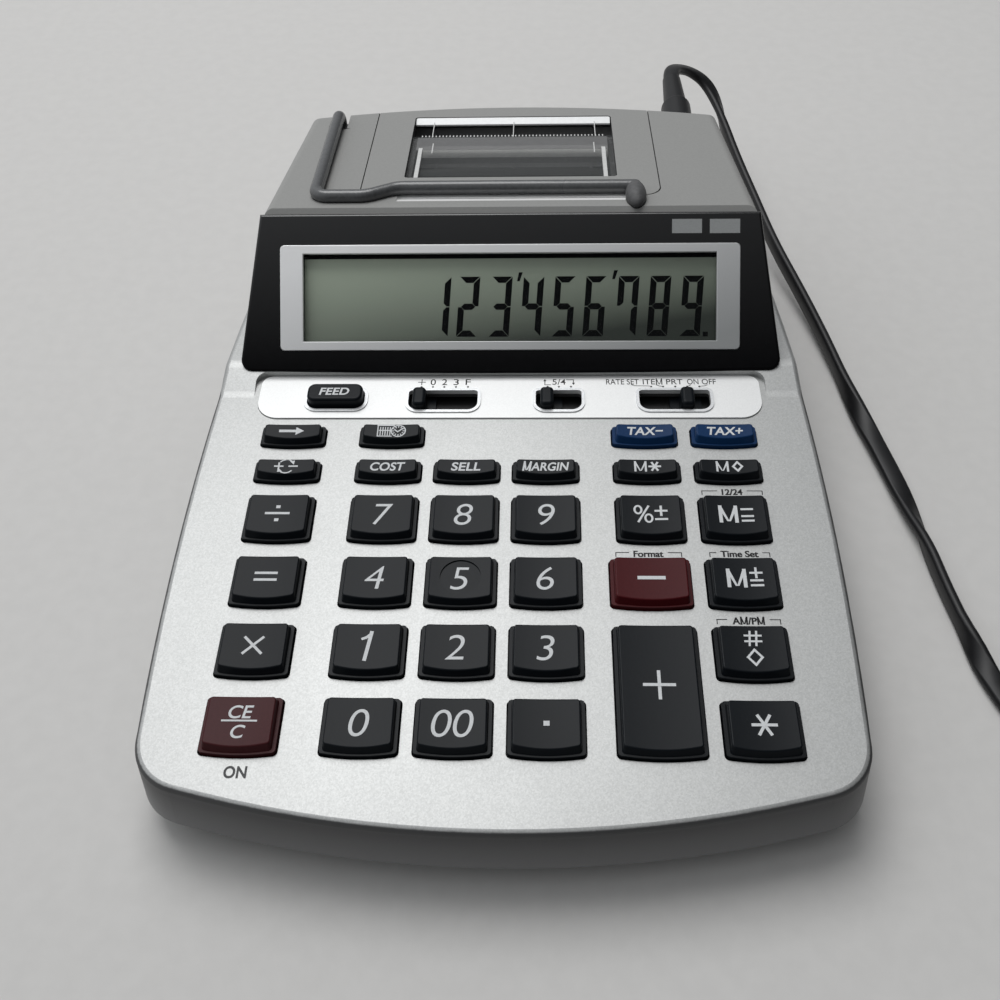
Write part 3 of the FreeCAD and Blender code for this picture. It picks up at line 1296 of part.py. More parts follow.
def coil_path(origin):
    """Layers that spiral in and out again by half turns, and climb where the spiral reverses."""
    edges = [Part.LineSegment(origin, origin.add(Vector(2 * LEAD_RADIUS, 0, 0))).toShape()]
    here = origin.add(Vector(2 * LEAD_RADIUS, 0, 0))
    heading = Vector(1, 0, 0)
    radius = COIL_OUTER
    step = -COIL_PITCH / 4
    for layer in range(COIL_LAYERS):
        last = layer == COIL_LAYERS - 1
        for half_turn in range(2 * COIL_TURNS + (1 if last else 0)):
            radius += step
            side = Vector(0, 1, 0) if heading.x > 0 else Vector(0, -1, 0)
            end = here.add(side * 2 * radius)
            mid = here.add(side * radius).add(heading * radius)
            edges.append(Part.Arc(here, mid, end).toShape())
            here = end
            heading = heading * -1
            radius += step
        if not last:
            side = Vector(0, 1, 0) if heading.x > 0 else Vector(0, -1, 0)
            end = here.add(side * 2 * radius).add(Vector(0, 0, COIL_RISE))
            edges += biarc(here, heading, end, heading * -1)
            here = end
            heading = heading * -1
            step = -step
    side = Vector(0, 1, 0) if heading.x > 0 else Vector(0, -1, 0)
    radius += COIL_PITCH / 2
    corner = here.add((heading + side) * radius)
    mid = here.add(side * radius).add((heading - side) * radius * math.sqrt(0.5))
    edges.append(Part.Arc(here, mid, corner).toShape())
    end = corner.add(side * COIL_TAIL)
    edges.append(Part.LineSegment(corner, end).toShape())
    return edges, end


def least_gap(edges):
    """Least distance between stretches of the coil that are more than a quarter turn apart."""
    points = []
    travelled = 0
    for edge in edges:
        count = max(2, int(2 * edge.Length / LEAD_RADIUS))
        for index in range(count):
            span = edge.LastParameter - edge.FirstParameter
            points.append((travelled + edge.Length * index / count,
                           edge.valueAt(edge.FirstParameter + span * index / count)))
        travelled += edge.Length
    apart = COIL_OUTER * math.pi / 2
    least = min(a[1].distanceToPoint(b[1]) for i, a in enumerate(points) for b in points[i + 1:]
                if b[0] - a[0] > apart)
    return least - 2 * LEAD_RADIUS


def cord_coil():
    """The length put away: one unbroken tube that starts where the free lead ends."""
    edges, end = coil_path(Vector(*LEAD_ROUTE[-1]))
    path = Part.Wire(edges)
    solid = tube(path, LEAD_RADIUS)
    expected = math.pi * LEAD_RADIUS ** 2 * path.Length
    print("coil length", round(path.Length, 1), "volume over section times length",
          round(solid.Volume / expected, 4), "least gap to itself", round(least_gap(edges), 2))
    return solid, end, path.Length


def wall_adapter(end):
    """Block with two flat blades that lies behind the coil, its relief facing the lead."""
    front = end.y + RELIEF_LENGTH
    rear = front + ADAPTER_LENGTH
    left = end.x - ADAPTER_WIDTH / 2 - ADAPTER_SHIFT
    block = rounded_box(left, left + ADAPTER_WIDTH, front, rear, 0, ADAPTER_HEIGHT, ADAPTER_CORNER)
    block = rounded(block, WALL, lambda edge: edge.BoundBox.ZMin > ADAPTER_HEIGHT - SHAFT_GAP)
    relief = Part.makeCone(RELIEF_RADIUS, PLUG_RADIUS, RELIEF_LENGTH + WALL, end, Vector(0, 1, 0))
    middle = left + ADAPTER_WIDTH / 2
    level = ADAPTER_HEIGHT / 2
    blades = []
    for offset in (-BLADE_SPACING / 2, BLADE_SPACING / 2):
        blades.append(box(middle + offset - BLADE_THICK / 2, middle + offset + BLADE_THICK / 2, rear - WALL,
                          rear + BLADE_LENGTH, level - BLADE_WIDTH / 2, level + BLADE_WIDTH / 2))
    return fuse([block, relief] + blades)


# Write every part

def export(name, shape):
    shape.exportStep("parts/" + name + ".step")
    if not shape.isValid():
        print("not valid:", name)


export("upper_housing", upper_housing())
export("lower_housing", lower_housing())
export("battery_cover", battery_cover())
export("rubber_feet", rubber_feet())
export("case_screws", case_screws())
export("keypad_membrane", keypad_membrane())
export("circuit_board", circuit_board())
export("switch_plate", switch_plate())
export("display_bezel", display_bezel())
export("display_window", display_window())
export("lcd_panel", lcd_panel())
export("printer_housing", printer_housing())
export("printer_cover", printer_cover())
export("paper_cutter", paper_cutter())
export("paper_arm", paper_arm())
export("printer_frame", printer_frame())
export("type_drum", type_drum())
export("feed_roller", feed_roller())
export("ink_roller", ink_roller())
export("key_feed", feed_key())
for key_name, key_x, key_front, key_width, key_depth in key_table():
    make = ringed_key if key_name == "5" else plain_key
    export("key_" + key_name, make(key_x, key_front, key_width, key_depth))
for slider_name, slider_x, slider_left, slider_right in slot_table():
    export(slider_name, slider(slider_x))
export("dc_plug", dc_plug())
lead_solid, lead_length = lead()
coil_solid, coil_end, coil_length = cord_coil()
export("cord", lead_solid)
export("cord_coil", coil_solid)
export("wall_adapter", wall_adapter(coil_end))
print("whole lead", round(lead_length + coil_length, 1))
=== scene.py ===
import math

import bpy
from mathutils import Matrix, Vector
from mathutils.bvhtree import BVHTree


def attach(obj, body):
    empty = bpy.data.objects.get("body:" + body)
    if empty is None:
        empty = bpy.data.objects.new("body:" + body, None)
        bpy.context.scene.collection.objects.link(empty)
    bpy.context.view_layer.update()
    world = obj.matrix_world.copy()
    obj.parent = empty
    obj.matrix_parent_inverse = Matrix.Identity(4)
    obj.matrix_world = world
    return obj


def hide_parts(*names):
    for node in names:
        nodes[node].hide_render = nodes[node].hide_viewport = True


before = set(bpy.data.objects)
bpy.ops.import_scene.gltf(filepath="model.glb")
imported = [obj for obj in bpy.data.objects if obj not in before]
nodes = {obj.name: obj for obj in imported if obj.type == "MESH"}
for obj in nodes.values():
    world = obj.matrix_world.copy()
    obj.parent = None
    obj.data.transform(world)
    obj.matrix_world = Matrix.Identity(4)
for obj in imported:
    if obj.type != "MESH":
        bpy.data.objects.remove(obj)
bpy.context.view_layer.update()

# A printing calculator on a pale table. Lengths are metres; MM turns the case's own sizes into metres.
MM = 0.001

# Camera, solved on the case's straight edges
CAMERA_PLACE = (0.00788, -0.21172, 0.2271)
CAMERA_TURN = (42.0547, 1.3828, 1.3659)
CAMERA_LENS = 41.4
CAMERA_NEAR = 0.01

# Surroundings that grow brighter towards one side, the lamp that hangs there, and the table
BRIGHT_SIDE = Vector((-0.75, 0.25, 0.61)).normalized()
SKY_COLOR = (0.95, 0.975, 1.0, 1)
SKY_DARKEST_AT = -0.1
SKY_DARK = 0.06
SKY_BRIGHT = 0.77
BACKDROP_LEVEL = 0.6
LAMP_PLACE = (-0.19, 0.42, 1.04)
LAMP_SIDE = 0.7
LAMP_POWER = 7.0
TABLE_HALF = 3.0
TABLE_COLOR = (0.63, 0.62, 0.605)


def leaning_face(y, z, tilt):
    """Frame of a face that leans about the X axis: a point on it in millimetres, and its tilt in degrees."""
    return Matrix.Translation((0, y * MM, z * MM)) @ Matrix.Rotation(math.radians(tilt), 4, "X")


def facing(face):
    return (face.to_3x3() @ Vector((0, 0, 1))).normalized()


# Leaning faces that carry the print: key deck, display and roof
DECK = leaning_face(-111.5, 20.2, 3.0)
DISPLAY = leaning_face(11.5, 28.8, 44.0)
ROOF = leaning_face(40.921, 57.212, -6.5)

# Print: its height over the part that it lies on, and from how high it is dropped there, in millimetres
PRINT_LIFT = 0.03
PRINT_START = 8

# Surface textures: repeats in a metre, the swing of the gloss and the depth of the moulded grain
GLOSS_SCALE = 25.0
GLOSS_SWING = 0.08
PAINT_GRAIN = 3200.0
FLAKE_SCALE = 3600.0
BUMP_DEPTH = 0.2 * MM

# Display: places in metres between which its finishes change, the way they do so, and the panel's shine;
# these are the painted shade of its face, the painted highlight of its ring and the painted sheen of the
# panel
LCD_SHADE_SPAN = (0.032, 0.058)
LCD_SHADE_RISE = (-0.1, 0, 1)
RING_LIGHT_SPAN = (0.022, 0.062)
RING_LIGHT_RISE = (-0.25, 0, 1)
PANEL_SHEEN_SPAN = (0.03, 0.062)
PANEL_PAINTED_SHEEN = (0.06, 0.75)

# Deck paint, which ends just below the deck's edge, and the skirt under it, in millimetres; the skirt's dark
# grey carries painted shade under the deck's edge and a painted reflection of the floor towards its foot
DECK_PAINT_DROP = 0.2
DECK_PAINT_BLUR = 0.08
SKIRT_SHADE_FOOT_Z = 7.5
SKIRT_SHADE_TOP_Z = 18
DECK_METAL = 0.6
SKIRT_METAL = 0.15

# Parts of a leaning face with a second finish: ranges across, along and out of it, in millimetres
FAR = 1000
RING_PART = ((-59.25, 59.25), (5.65, 32.85), (-FAR, FAR))
# Ramp in front of the arm's run, painted pale: a painted highlight
RAMP_HIGHLIGHT_PART = ((-38, 34), (6.5, 12.5), (-FAR, -0.02))
# Inner faces of the cover's window opening, painted dark: painted shade
WINDOW_SHADE_PART = ((-28.95, 28.95), (20, 59.8), (-6, -0.05))
GUIDE_PART = ((-30, 30), (53, FAR), (-15, -4))
PLATEN_PART = ((-29.4, 29.4), (43, 51.5), (-7.2, -5))
RIM_PART = ((-FAR, FAR), (-FAR, FAR), (0.45, FAR))
SWITCH_PART = ((-FAR, FAR), (-FAR, FAR), (-7, FAR))

# Egg-shaped knob of the arm on the roof, in millimetres
EGG_MIDDLE = (33, 7.8, 0.9)
EGG_RADII = (2.8, 5.9, 2.8)
EGG_START = 30.1
EGG_MARGIN = 1.05

# Limits of the other second finishes, in metres
SWITCH_REAR_Y = 0.02
CONTACT_FRONT_Y = 0.015
CONTACT_HALF = 0.031
CONTACT_TOP_Z = 0.02
PRONG_START_Y = 0.03315

# Letters of the built-in face, as shares of its size
CAPITAL = 0.73
M_STEM = 0.09
M_MARGIN = 0.03

# Signs on the keys: heights in millimetres, then weights, slants, stretches and spacings as shares
FIGURE_HEIGHT = 6.5
FIGURE_WEIGHT = -0.008
FIGURE_STRETCH = 1.06
FIGURE_SPACING = 0.94
WORD_HEIGHT = 2.5
WORD_WEIGHT = 0.024
WORD_SPACING = 1.02
CLEAR_HEIGHT = 3.0
CLEAR_WEIGHT = 0.014
CLEAR_SLANT = 0.17
CLEAR_STRETCH = 1.02
SIGN_SLANT = 0.15

# Depth within which a point belongs to a key's top, in millimetres
KEY_TOP_DEPTH = 0.5

# Words on keys, with their stretch
KEY_WORDS = {
    "cost": ("COST", 0.92), "sell": ("SELL", 1.05), "margin": ("MARGIN", 0.84), "tax_minus": ("TAX−", 1.0),
    "tax_plus": ("TAX+", 1.0), "feed": ("FEED", 1.0),
}

# Print on the deck, in millimetres; each label stands in a line that turns towards the key at both ends
POWER_HEIGHT = 2.6
POWER_WEIGHT = 0.03
POWER_STRETCH = 0.84
POWER_SPACING = 1.04
POWER_PLACE = (-52.9, 12.3)
LABEL_HEIGHT = 1.8
LABEL_WEIGHT = 0.018
LABEL_STRETCH = 0.94
LABEL_DOUBLE = 0.05
LABEL_LINE = 0.22
LABEL_LINE_UP = 0.3
LABEL_LINE_DOWN = 0.8

# Labels: text, middle, half the gap that it leaves in the line, and the line's two ends
LABELS = [
    ("12/24", 53.6, 85.1, 3.6, 46.5, 60.7), ("Format", 32.8, 66.85, 4.5, 25.4, 40.3),
    ("Time Set", 53.4, 66.9, 5.3, 46.7, 60.2), ("AM/PM", 53.4, 48.85, 4.7, 46.6, 60.3),
]

# Print on the switch plate, in millimetres: words with their middle, height, width and weight
SWITCH_WORDS_Y = 121.5
SWITCH_WORDS = [
    ("0", -19.5, 2.2, 1.35, 0.002), ("2", -16.55, 2.2, 1.35, 0.002), ("3", -13.55, 2.2, 1.35, 0.002),
    ("F", -10.45, 2.2, 1.35, 0.002), ("5/4", 13.0, 2.1, 3.4, 0.002), ("RATE SET", 29.3, 2.0, 8.4, 0.004),
    ("ITEM", 37.0, 2.0, 5.0, 0.004), ("PRT", 42.6, 2.0, 4.2, 0.004), ("ON", 47.3, 2.0, 2.9, 0.004),
    ("OFF", 51.4, 2.0, 3.6, 0.004),
]

# Plus sign of the switch plate: its middle, half its size and its stroke
SWITCH_PLUS = (-22.45, 121.4, 1.0, 0.22)

# Dots under the switch positions, and the arrows and lines between words and dots
SWITCH_DOTS_Y = 119.7
SWITCH_DOT = 0.28
SWITCH_DOTS = (-22.45, -19.5, -16.55, -13.55, -10.45, 10.05, 12.95, 16.05, 36.55, 39.6, 42.7, 45.75, 48.85)
SWITCH_ARROWS = [
    [(9.35, 122.5), (8.95, 121.7), (9.75, 121.7)], [(16.7, 120.3), (17.1, 121.1), (16.3, 121.1)],
]
ARROW_STROKE = 0.2
ARROW_LINES = [
    [(10.8, 120.4), (9.35, 120.4), (9.35, 121.8)], [(14.95, 122.2), (16.7, 122.2), (16.7, 121.0)],
]
LEADER_STROKE = 0.18
LEADER_LINES = [
    [(31.6, 120.35), (32.4, 120.0), (36.2, 119.9)], [(37.9, 120.3), (38.6, 119.9), (39.3, 119.8)],
    [(45.95, 119.8), (46.6, 120.2)], [(49.1, 119.8), (50.2, 119.9), (50.9, 120.3)],
]

# Display figures, in millimetres on the display's face
DIGIT_FOOT = 9.4
DIGIT_WIDTH = 5.3
DIGIT_HEIGHT = 15.5
DIGIT_THICK = 1.6
DIGIT_LEAN = 0.07
DIGIT_GAP = 0.12
DIGIT_MIDDLES = (-18.1, -10.6, -2.2, 6.0, 14.2, 22.2, 30.6, 38.8, 47.2)
SEGMENTS = {
    "1": "bc", "2": "abged", "3": "abgcd", "4": "fgbc", "5": "afgcd", "6": "afgedc", "7": "fabc",
    "8": "abcdefg", "9": "abcdfg",
}

# Commas, decimal point and a painted shadow along the display's top and left, where the recess shades the
# face
COMMAS = [(2.4, 24.9), (27.0, 25.3)]
COMMA = [(0.2, 1.1), (1.2, 1.1), (0.4, -1.2), (-0.3, -1.2)]
DISPLAY_POINT_AND_SHADOW_BARS = [
    ((50.1, 51.4), (9.3, 10.5)), ((-54.2, 54.2), (29.6, 31.4)), ((-54.2, -53.3), (7.6, 31.4)),
]
PANEL_BADGES = [((41.8, 49.4), (35.35, 38.95)), ((51.4, 59.1), (35.3, 38.9))]

# Tear window, in millimetres on the roof: its strip, a painted highlight along the rear lip, and its posts,
# band and marks as ranges; the tooth marks are painted highlights on the cutter's teeth
STRIP_HALF = 28.5
STRIP_PROFILE = [(57.1, -1.15), (59.65, -0.2), (59.65, -1.6), (57.1, -1.6)]
POST_X = 25.9
POST_HALF = 0.55
POST_REST = ((20.6, 40.5), (-1.75, -0.8))
BAND = ((-27.2, 27.2), (39.2, 47.4), (-0.88, -0.84))
REAR_MARKS_X = (-23.1, 0.3, 23.9)
REAR_MARK_HALF = 0.12
REAR_MARK_REST = ((47.6, 57.9), (-0.88, -0.8))
FRONT_MARKS_X = (-22.5, 23.3)
FRONT_MARK_HALF = 0.15
FRONT_MARK_REST = ((37.0, 43.5), (-0.83, -0.8))
# Painted highlights on the cutter's teeth: last tooth, half width and ranges
LAST_TOOTH = 26
TOOTH_HIGHLIGHT_HALF = 0.16
TOOTH_HIGHLIGHT_REST = ((47.8, 48.8), (-0.88, -0.83))

# Lead, in millimetres: size of its section, and control points from the plug to the coil
LEAD_WIDTH = 5.2
LEAD_THICK = 2.6
LEAD_ROUTE = [
    (51.2, 145.0, 37.3), (51.4, 150.5, 37.0), (53.2, 156.5, 35.6), (58.6, 160.8, 32.6),
    (64.6, 160.2, 29.0), (68.2, 153.6, 25.2), (70.4, 142.0, 20.8), (73.9, 128.5, 16.2),
    (78.0, 112.6, 12.2), (82.0, 94.0, 8.8), (87.8, 72.0, 6.2), (92.6, 50.0, 4.2),
    (96.2, 28.0, 2.5), (101.0, 5.0, 2.0), (104.8, -20.0, 2.3), (107.2, -45.0, 2.0),
    (112.6, -70.0, 1.6), (122.4, -89.0, 1.6), (138.0, -98.0, 2.0), (153.0, -99.6, 2.65),
]

# Outer arc of each of the lead's two cores, in degrees, and the steps in which arcs and spline are drawn
CORE_ARC = 140
CORE_STEPS = 8
SPLINE_STEPS = 8
SPLINE_ORDER = 3

# Coil: radius, pitch and rise of its layers, in millimetres, and its way in and its tail
COIL_OUTER = 29.6
COIL_PITCH = 6.2
COIL_RISE = 5.2
COIL_HALF_TURNS = 4
COIL_LAYERS = 4
COIL_LEAD_IN = 4.5
COIL_TAIL = 24.0
COIL_POINTS = 12

# Stretches over which the flat lead turns a quarter about its own line, as places along it in metres
LEAD_TURNS = [(0.02, 0.05), (0.15, 0.185), (0.195, 0.225), (0.24, 0.262), (0.285, 0.31)]


# Nodes of a material

def add(tree, kind, **inputs):
    """One shader node; inputs are values or other nodes' sockets, by socket name."""
    node = tree.nodes.new(kind)
    for name, value in inputs.items():
        socket = node.inputs[name.replace("_", " ")]
        if isinstance(value, bpy.types.NodeSocket):
            tree.links.new(value, socket)
        else:
            socket.default_value = value
    return node


def ramp(tree, factor, low, high, start=0.35, end=0.65):
    """Blend from one colour to another over part of a factor's range."""
    node = tree.nodes.new("ShaderNodeValToRGB")
    node.color_ramp.elements[0].position = start
    node.color_ramp.elements[1].position = end
    node.color_ramp.elements[0].color = (*low, 1)
    node.color_ramp.elements[1].color = (*high, 1)
    tree.links.new(factor, node.inputs["Fac"])
    return node.outputs["Color"]


def place(tree):
    return tree.nodes.new("ShaderNodeTexCoord").outputs["Object"]


def noise(tree, scale, detail=4.0):
    return add(tree, "ShaderNodeTexNoise", Vector=place(tree), Scale=scale, Detail=detail).outputs["Fac"]


def mapped(tree, value, low, high, start=0.0, end=1.0):
    """A value between low and high, carried over to the range from start to end."""
    return add(tree, "ShaderNodeMapRange", Value=value, From_Min=low, From_Max=high, To_Min=start,
               To_Max=end).outputs["Result"]


def along(tree, vector, toward):
    """How far a place or a direction lies towards a given direction."""
    node = tree.nodes.new("ShaderNodeVectorMath")
    node.operation = "DOT_PRODUCT"
    node.inputs[1].default_value = toward
    tree.links.new(vector, node.inputs[0])
    return node.outputs["Value"]


def rising(tree, toward, low, high):
    """A value that grows from 0 to 1 along a direction, between two places in metres."""
    return mapped(tree, along(tree, place(tree), toward), low, high)


def drive(material, name, value):
    """Link a value to an input of the material's surface."""
    tree = material.node_tree
    tree.links.new(value, tree.nodes["Principled BSDF"].inputs[name])


def shaded(color, part):
    return tuple(min(1.0, channel * part) for channel in color)


def plastic(name, color, roughness, grain=900.0, relief=0.05, spread=0.12, metallic=0.0, specular=0.5):
    """Moulded or painted surface: speckled colour, uneven gloss and a fine grain of some relief."""
    material = bpy.data.materials.new(name)
    material.use_nodes = True
    tree = material.node_tree
    shader = tree.nodes["Principled BSDF"]
    shader.inputs["Metallic"].default_value = metallic
    shader.inputs["Specular IOR Level"].default_value = specular
    fine = noise(tree, grain)
    broad = noise(tree, GLOSS_SCALE, 2.0)
    drive(material, "Base Color", ramp(tree, fine, shaded(color, 1 - spread), shaded(color, 1 + spread)))
    least, most = roughness * (1 - GLOSS_SWING), roughness * (1 + GLOSS_SWING)
    drive(material, "Roughness", mapped(tree, broad, 0.0, 1.0, least, most))
    bump = add(tree, "ShaderNodeBump", Height=fine, Strength=relief, Distance=BUMP_DEPTH)
    drive(material, "Normal", bump.outputs["Normal"])
    return material


def silver_paint(name, color, roughness, metallic, sparkle=0.1):
    """Metallic paint: small bright flakes over a fine grain."""
    material = plastic(name, color, roughness, PAINT_GRAIN, 0.02, 0.05, metallic)
    tree = material.node_tree
    cells = add(tree, "ShaderNodeTexVoronoi", Vector=place(tree), Scale=FLAKE_SCALE)
    dull, bright = shaded(color, 1 - sparkle), shaded(color, 1 + sparkle)
    drive(material, "Base Color", ramp(tree, cells.outputs["Color"], dull, bright, 0.1, 0.9))
    return material


def case_paint(name, deck, shaded_skirt_top, lit_skirt_foot):
    """Metallic deck paint, and below the deck's edge smooth dark grey that is paler towards the foot: painted
    shade at the top and a painted reflection of the floor at the foot.
    """
    material = silver_paint(name, deck, 0.45, DECK_METAL)
    tree = material.node_tree
    flakes = tree.nodes["Principled BSDF"].inputs["Base Color"].links[0].from_socket
    edge = facing(DECK).dot(DECK.translation) - DECK_PAINT_DROP * MM
    blur = DECK_PAINT_BLUR * MM
    deck_part = rising(tree, facing(DECK), edge - blur, edge + blur)
    height = rising(tree, (0, 0, 1), SKIRT_SHADE_FOOT_Z * MM, SKIRT_SHADE_TOP_Z * MM)
    mix = tree.nodes.new("ShaderNodeMix")
    mix.data_type = "RGBA"
    tree.links.new(deck_part, mix.inputs["Factor"])
    tree.links.new(ramp(tree, height, lit_skirt_foot, shaded_skirt_top, 0.0, 1.0), mix.inputs["A"])
    tree.links.new(flakes, mix.inputs["B"])
    drive(material, "Base Color", mix.outputs["Result"])
    drive(material, "Metallic", mapped(tree, deck_part, 0.0, 1.0, SKIRT_METAL, DECK_METAL))
    return material


def clear_plastic(name, tint, alpha, roughness):
    material = plastic(name, tint, roughness, 400.0, 0.02, 0.04)
    material.node_tree.nodes["Principled BSDF"].inputs["Alpha"].default_value = alpha
    return material


def lcd_glass_painted_shade(name, foot, top):
    """Grey-green display face, darker towards its foot and its right: painted shade."""
    material = plastic(name, top, 0.35, 1200.0, 0.01, 0.03)
    tree = material.node_tree
    height = rising(tree, LCD_SHADE_RISE, *LCD_SHADE_SPAN)
    drive(material, "Base Color", ramp(tree, height, foot, top, 0.0, 1.0))
    return material


def ring_paint_with_painted_light(name, foot, top):
    """Silver paint, paler towards its upper edge and its left: a painted highlight."""
    material = silver_paint(name, top, 0.42, 0.5)
    tree = material.node_tree
    height = rising(tree, RING_LIGHT_RISE, *RING_LIGHT_SPAN)
    drive(material, "Base Color", ramp(tree, height, foot, top, 0.0, 1.0))
    return material


def panel_gloss_with_painted_sheen(name, color):
    """Glossy black, shining more towards its upper edge: a painted sheen in place of the highlight along the
    top.
    """
    material = plastic(name, color, 0.16, 600.0, 0.01, 0.1)
    tree = material.node_tree
    shine = mapped(tree, rising(tree, (0, 0, 1), *PANEL_SHEEN_SPAN), 0.0, 1.0, *PANEL_PAINTED_SHEEN)
    drive(material, "Specular IOR Level", shine)
    return material


def key_plastic(name, color, specular):
    return plastic(name, color, 0.34, 1800.0, 0.05, 0.06, specular=specular)


def printed(name, color, roughness=0.6, specular=0.5):
    return plastic(name, color, roughness, 2500.0, 0.02, 0.06, specular=specular)


# Deck silver; the skirt's two greys are painted shade under the deck's edge and a painted reflection of the
# floor towards the foot
SILVER = case_paint("silver_paint", (0.42, 0.425, 0.42), (0.06, 0.06, 0.061), (0.19, 0.19, 0.192))
HOUSING = plastic("grey_housing", (0.29, 0.29, 0.282), 0.55, 1700.0, 0.06, 0.03, specular=0.3)
# Painted highlight: the ramp's faces are the housing's moulding painted far paler to look lit
RAMP_PAINTED_HIGHLIGHT = plastic("ramp_painted_highlight", (0.8, 0.8, 0.79), 0.5, 1700.0, 0.06, 0.03)
PLATE = silver_paint("bright_plate", (0.8, 0.805, 0.8), 0.45, 0.3, 0.03)
RIM = silver_paint("grey_rim", (0.6, 0.61, 0.62), 0.4, 0.6)
# Display ring: its blend to near-white at the top is a painted highlight
RING = ring_paint_with_painted_light("display_ring", (0.42, 0.43, 0.43), (0.98, 0.98, 0.98))
SHELL = plastic("dark_shell", (0.014, 0.014, 0.015), 0.55, 1400.0, 0.25, specular=0.2)
KEY = key_plastic("charcoal_key", (0.005, 0.0068, 0.009), 0.12)
KEY_BLUE = key_plastic("blue_key", (0.006, 0.032, 0.1), 0.1)
KEY_MAROON = key_plastic("maroon_key", (0.055, 0.012, 0.014), 0.1)
KEY_RED = key_plastic("red_key", (0.06, 0.005, 0.007), 0.1)
ARM = plastic("arm_grey", (0.075, 0.077, 0.08), 0.27, 1300.0, 0.06, specular=0.8)
KNOB = plastic("knob_grey", (0.085, 0.085, 0.087), 0.6, 900.0, 0.8)
# Display panel: its gloss rising towards the top is a painted sheen
PANEL = panel_gloss_with_painted_sheen("black_panel", (0.004, 0.004, 0.0045))
CLEAR = clear_plastic("clear_window", (0.5, 0.52, 0.52), 0.05, 0.08)
COVER_GLASS = clear_plastic("display_cover", (0.02, 0.02, 0.02), 0.03, 0.05)
CUTTER_BAND = clear_plastic("ground_band", (0.2, 0.2, 0.2), 0.6, 0.4)
# Painted shade: inner faces of the cover's window opening, darker than the cover's grey
WINDOW_SIDE_SHADE = plastic("window_side_painted_shade", (0.06, 0.06, 0.06), 0.5, 900.0, 0.1, 0.05, specular=0.3)
# Pale grey of the posts and width marks, also used for the painted highlights on the cutter's teeth
POST = plastic("window_post", (0.62, 0.62, 0.61), 0.4, 900.0, 0.05, 0.05)
# Display face: its ramp from a dark foot to a pale top is painted shade
LCD = lcd_glass_painted_shade("lcd_glass_painted_shade", (0.03, 0.038, 0.03), (0.68, 0.78, 0.62))
MECHANISM = plastic("mechanism_black", (0.03, 0.03, 0.032), 0.5, 900.0, 0.1)
GUIDE = plastic("guide_grey", (0.2, 0.2, 0.2), 0.5, 900.0, 0.1, 0.05)
PLATEN = plastic("platen_grey", (0.32, 0.32, 0.31), 0.5, 900.0, 0.1, 0.05)
# Painted highlight standing in for the lit rear lip of the window
LIP_PAINTED_HIGHLIGHT = plastic("lip_painted_highlight", (0.88, 0.89, 0.89), 0.3, 900.0, 0.02, 0.03)
RUBBER = plastic("black_rubber", (0.016, 0.016, 0.017), 0.6, 1500.0, 0.3)
INK = plastic("ink_felt", (0.02, 0.02, 0.06), 0.9, 2200.0, 0.8)
BOARD = plastic("board_green", (0.02, 0.11, 0.045), 0.35, 300.0, 0.02)
SWITCH = plastic("switch_black", (0.012, 0.012, 0.013), 0.45, 900.0, 0.1)
PAD = plastic("pad_rubber", (0.04, 0.042, 0.044), 0.6, 1400.0, 0.1)
STEEL = plastic("bright_steel", (0.6, 0.6, 0.6), 0.3, 500.0, 0.03, 0.05, metallic=1.0)
LEAD = plastic("lead_black", (0.008, 0.008, 0.009), 0.42, 700.0, 0.05, specular=0.35)
ADAPTER = plastic("adapter_black", (0.012, 0.012, 0.013), 0.5, 1300.0, 0.3)
PRINT_LIGHT = printed("light_print", (0.62, 0.635, 0.645))
PRINT_DARK = printed("dark_print", (0.012, 0.012, 0.013))
PRINT_GREY = printed("grey_print", (0.05, 0.05, 0.052))
BADGE = printed("badge_grey", (0.3, 0.31, 0.31), roughness=0.5)
# Black of the figures, also used for the painted shadow along the display's top and left
DIGIT = printed("display_digit", (0.003, 0.0035, 0.004), roughness=0.5, specular=0.05)

FINISHES = {
    "upper_housing": SILVER, "lower_housing": SHELL, "battery_cover": SHELL, "rubber_feet": RUBBER,
    "case_screws": STEEL, "keypad_membrane": PAD, "circuit_board": BOARD, "switch_plate": PLATE,
    "display_bezel": PANEL, "display_window": COVER_GLASS, "lcd_panel": LCD, "printer_housing": HOUSING,
    "printer_cover": HOUSING, "paper_cutter": CLEAR, "paper_arm": ARM, "printer_frame": MECHANISM,
    "type_drum": MECHANISM, "feed_roller": RUBBER, "ink_roller": INK, "decimal_slider": KEY,
    "rounding_slider": KEY, "mode_slider": KEY, "dc_plug": LEAD, "cord": LEAD, "cord_coil": LEAD,
    "wall_adapter": ADAPTER, "key_tax_minus": KEY_BLUE, "key_tax_plus": KEY_BLUE, "key_clear": KEY_MAROON,
    "key_minus": KEY_RED,
}


def finish_nodes():
    for name, node in nodes.items():
        node.data.materials.clear()
        node.data.materials.append(FINISHES.get(name, KEY))


def second_finish(name, material, wanted):
    """Another material for the faces whose middle passes the test."""
    mesh = nodes[name].data
    mesh.materials.append(material)
    index = len(mesh.materials) - 1
    for polygon in mesh.polygons:
        if wanted(polygon.center):
            polygon.material_index = index


def in_plane(face, point):
    """A point in a leaning face's own millimetres."""
    flat = face.inverted() @ point
    return flat.x / MM, flat.y / MM, flat.z / MM


def inside(face, point, part):
    """True where a point lies within all three ranges of a part of a face."""
    return all(low < value < high for value, (low, high) in zip(in_plane(face, point), part))


def on_egg(point):
    flat = in_plane(ROOF, point)
    reach = sum(((value - middle) / radius) ** 2
                for value, middle, radius in zip(flat, EGG_MIDDLE, EGG_RADII))
    return flat[0] > EGG_START and reach < EGG_MARGIN


def on_switch(point):
    return inside(DECK, point, SWITCH_PART) and point.y < SWITCH_REAR_Y


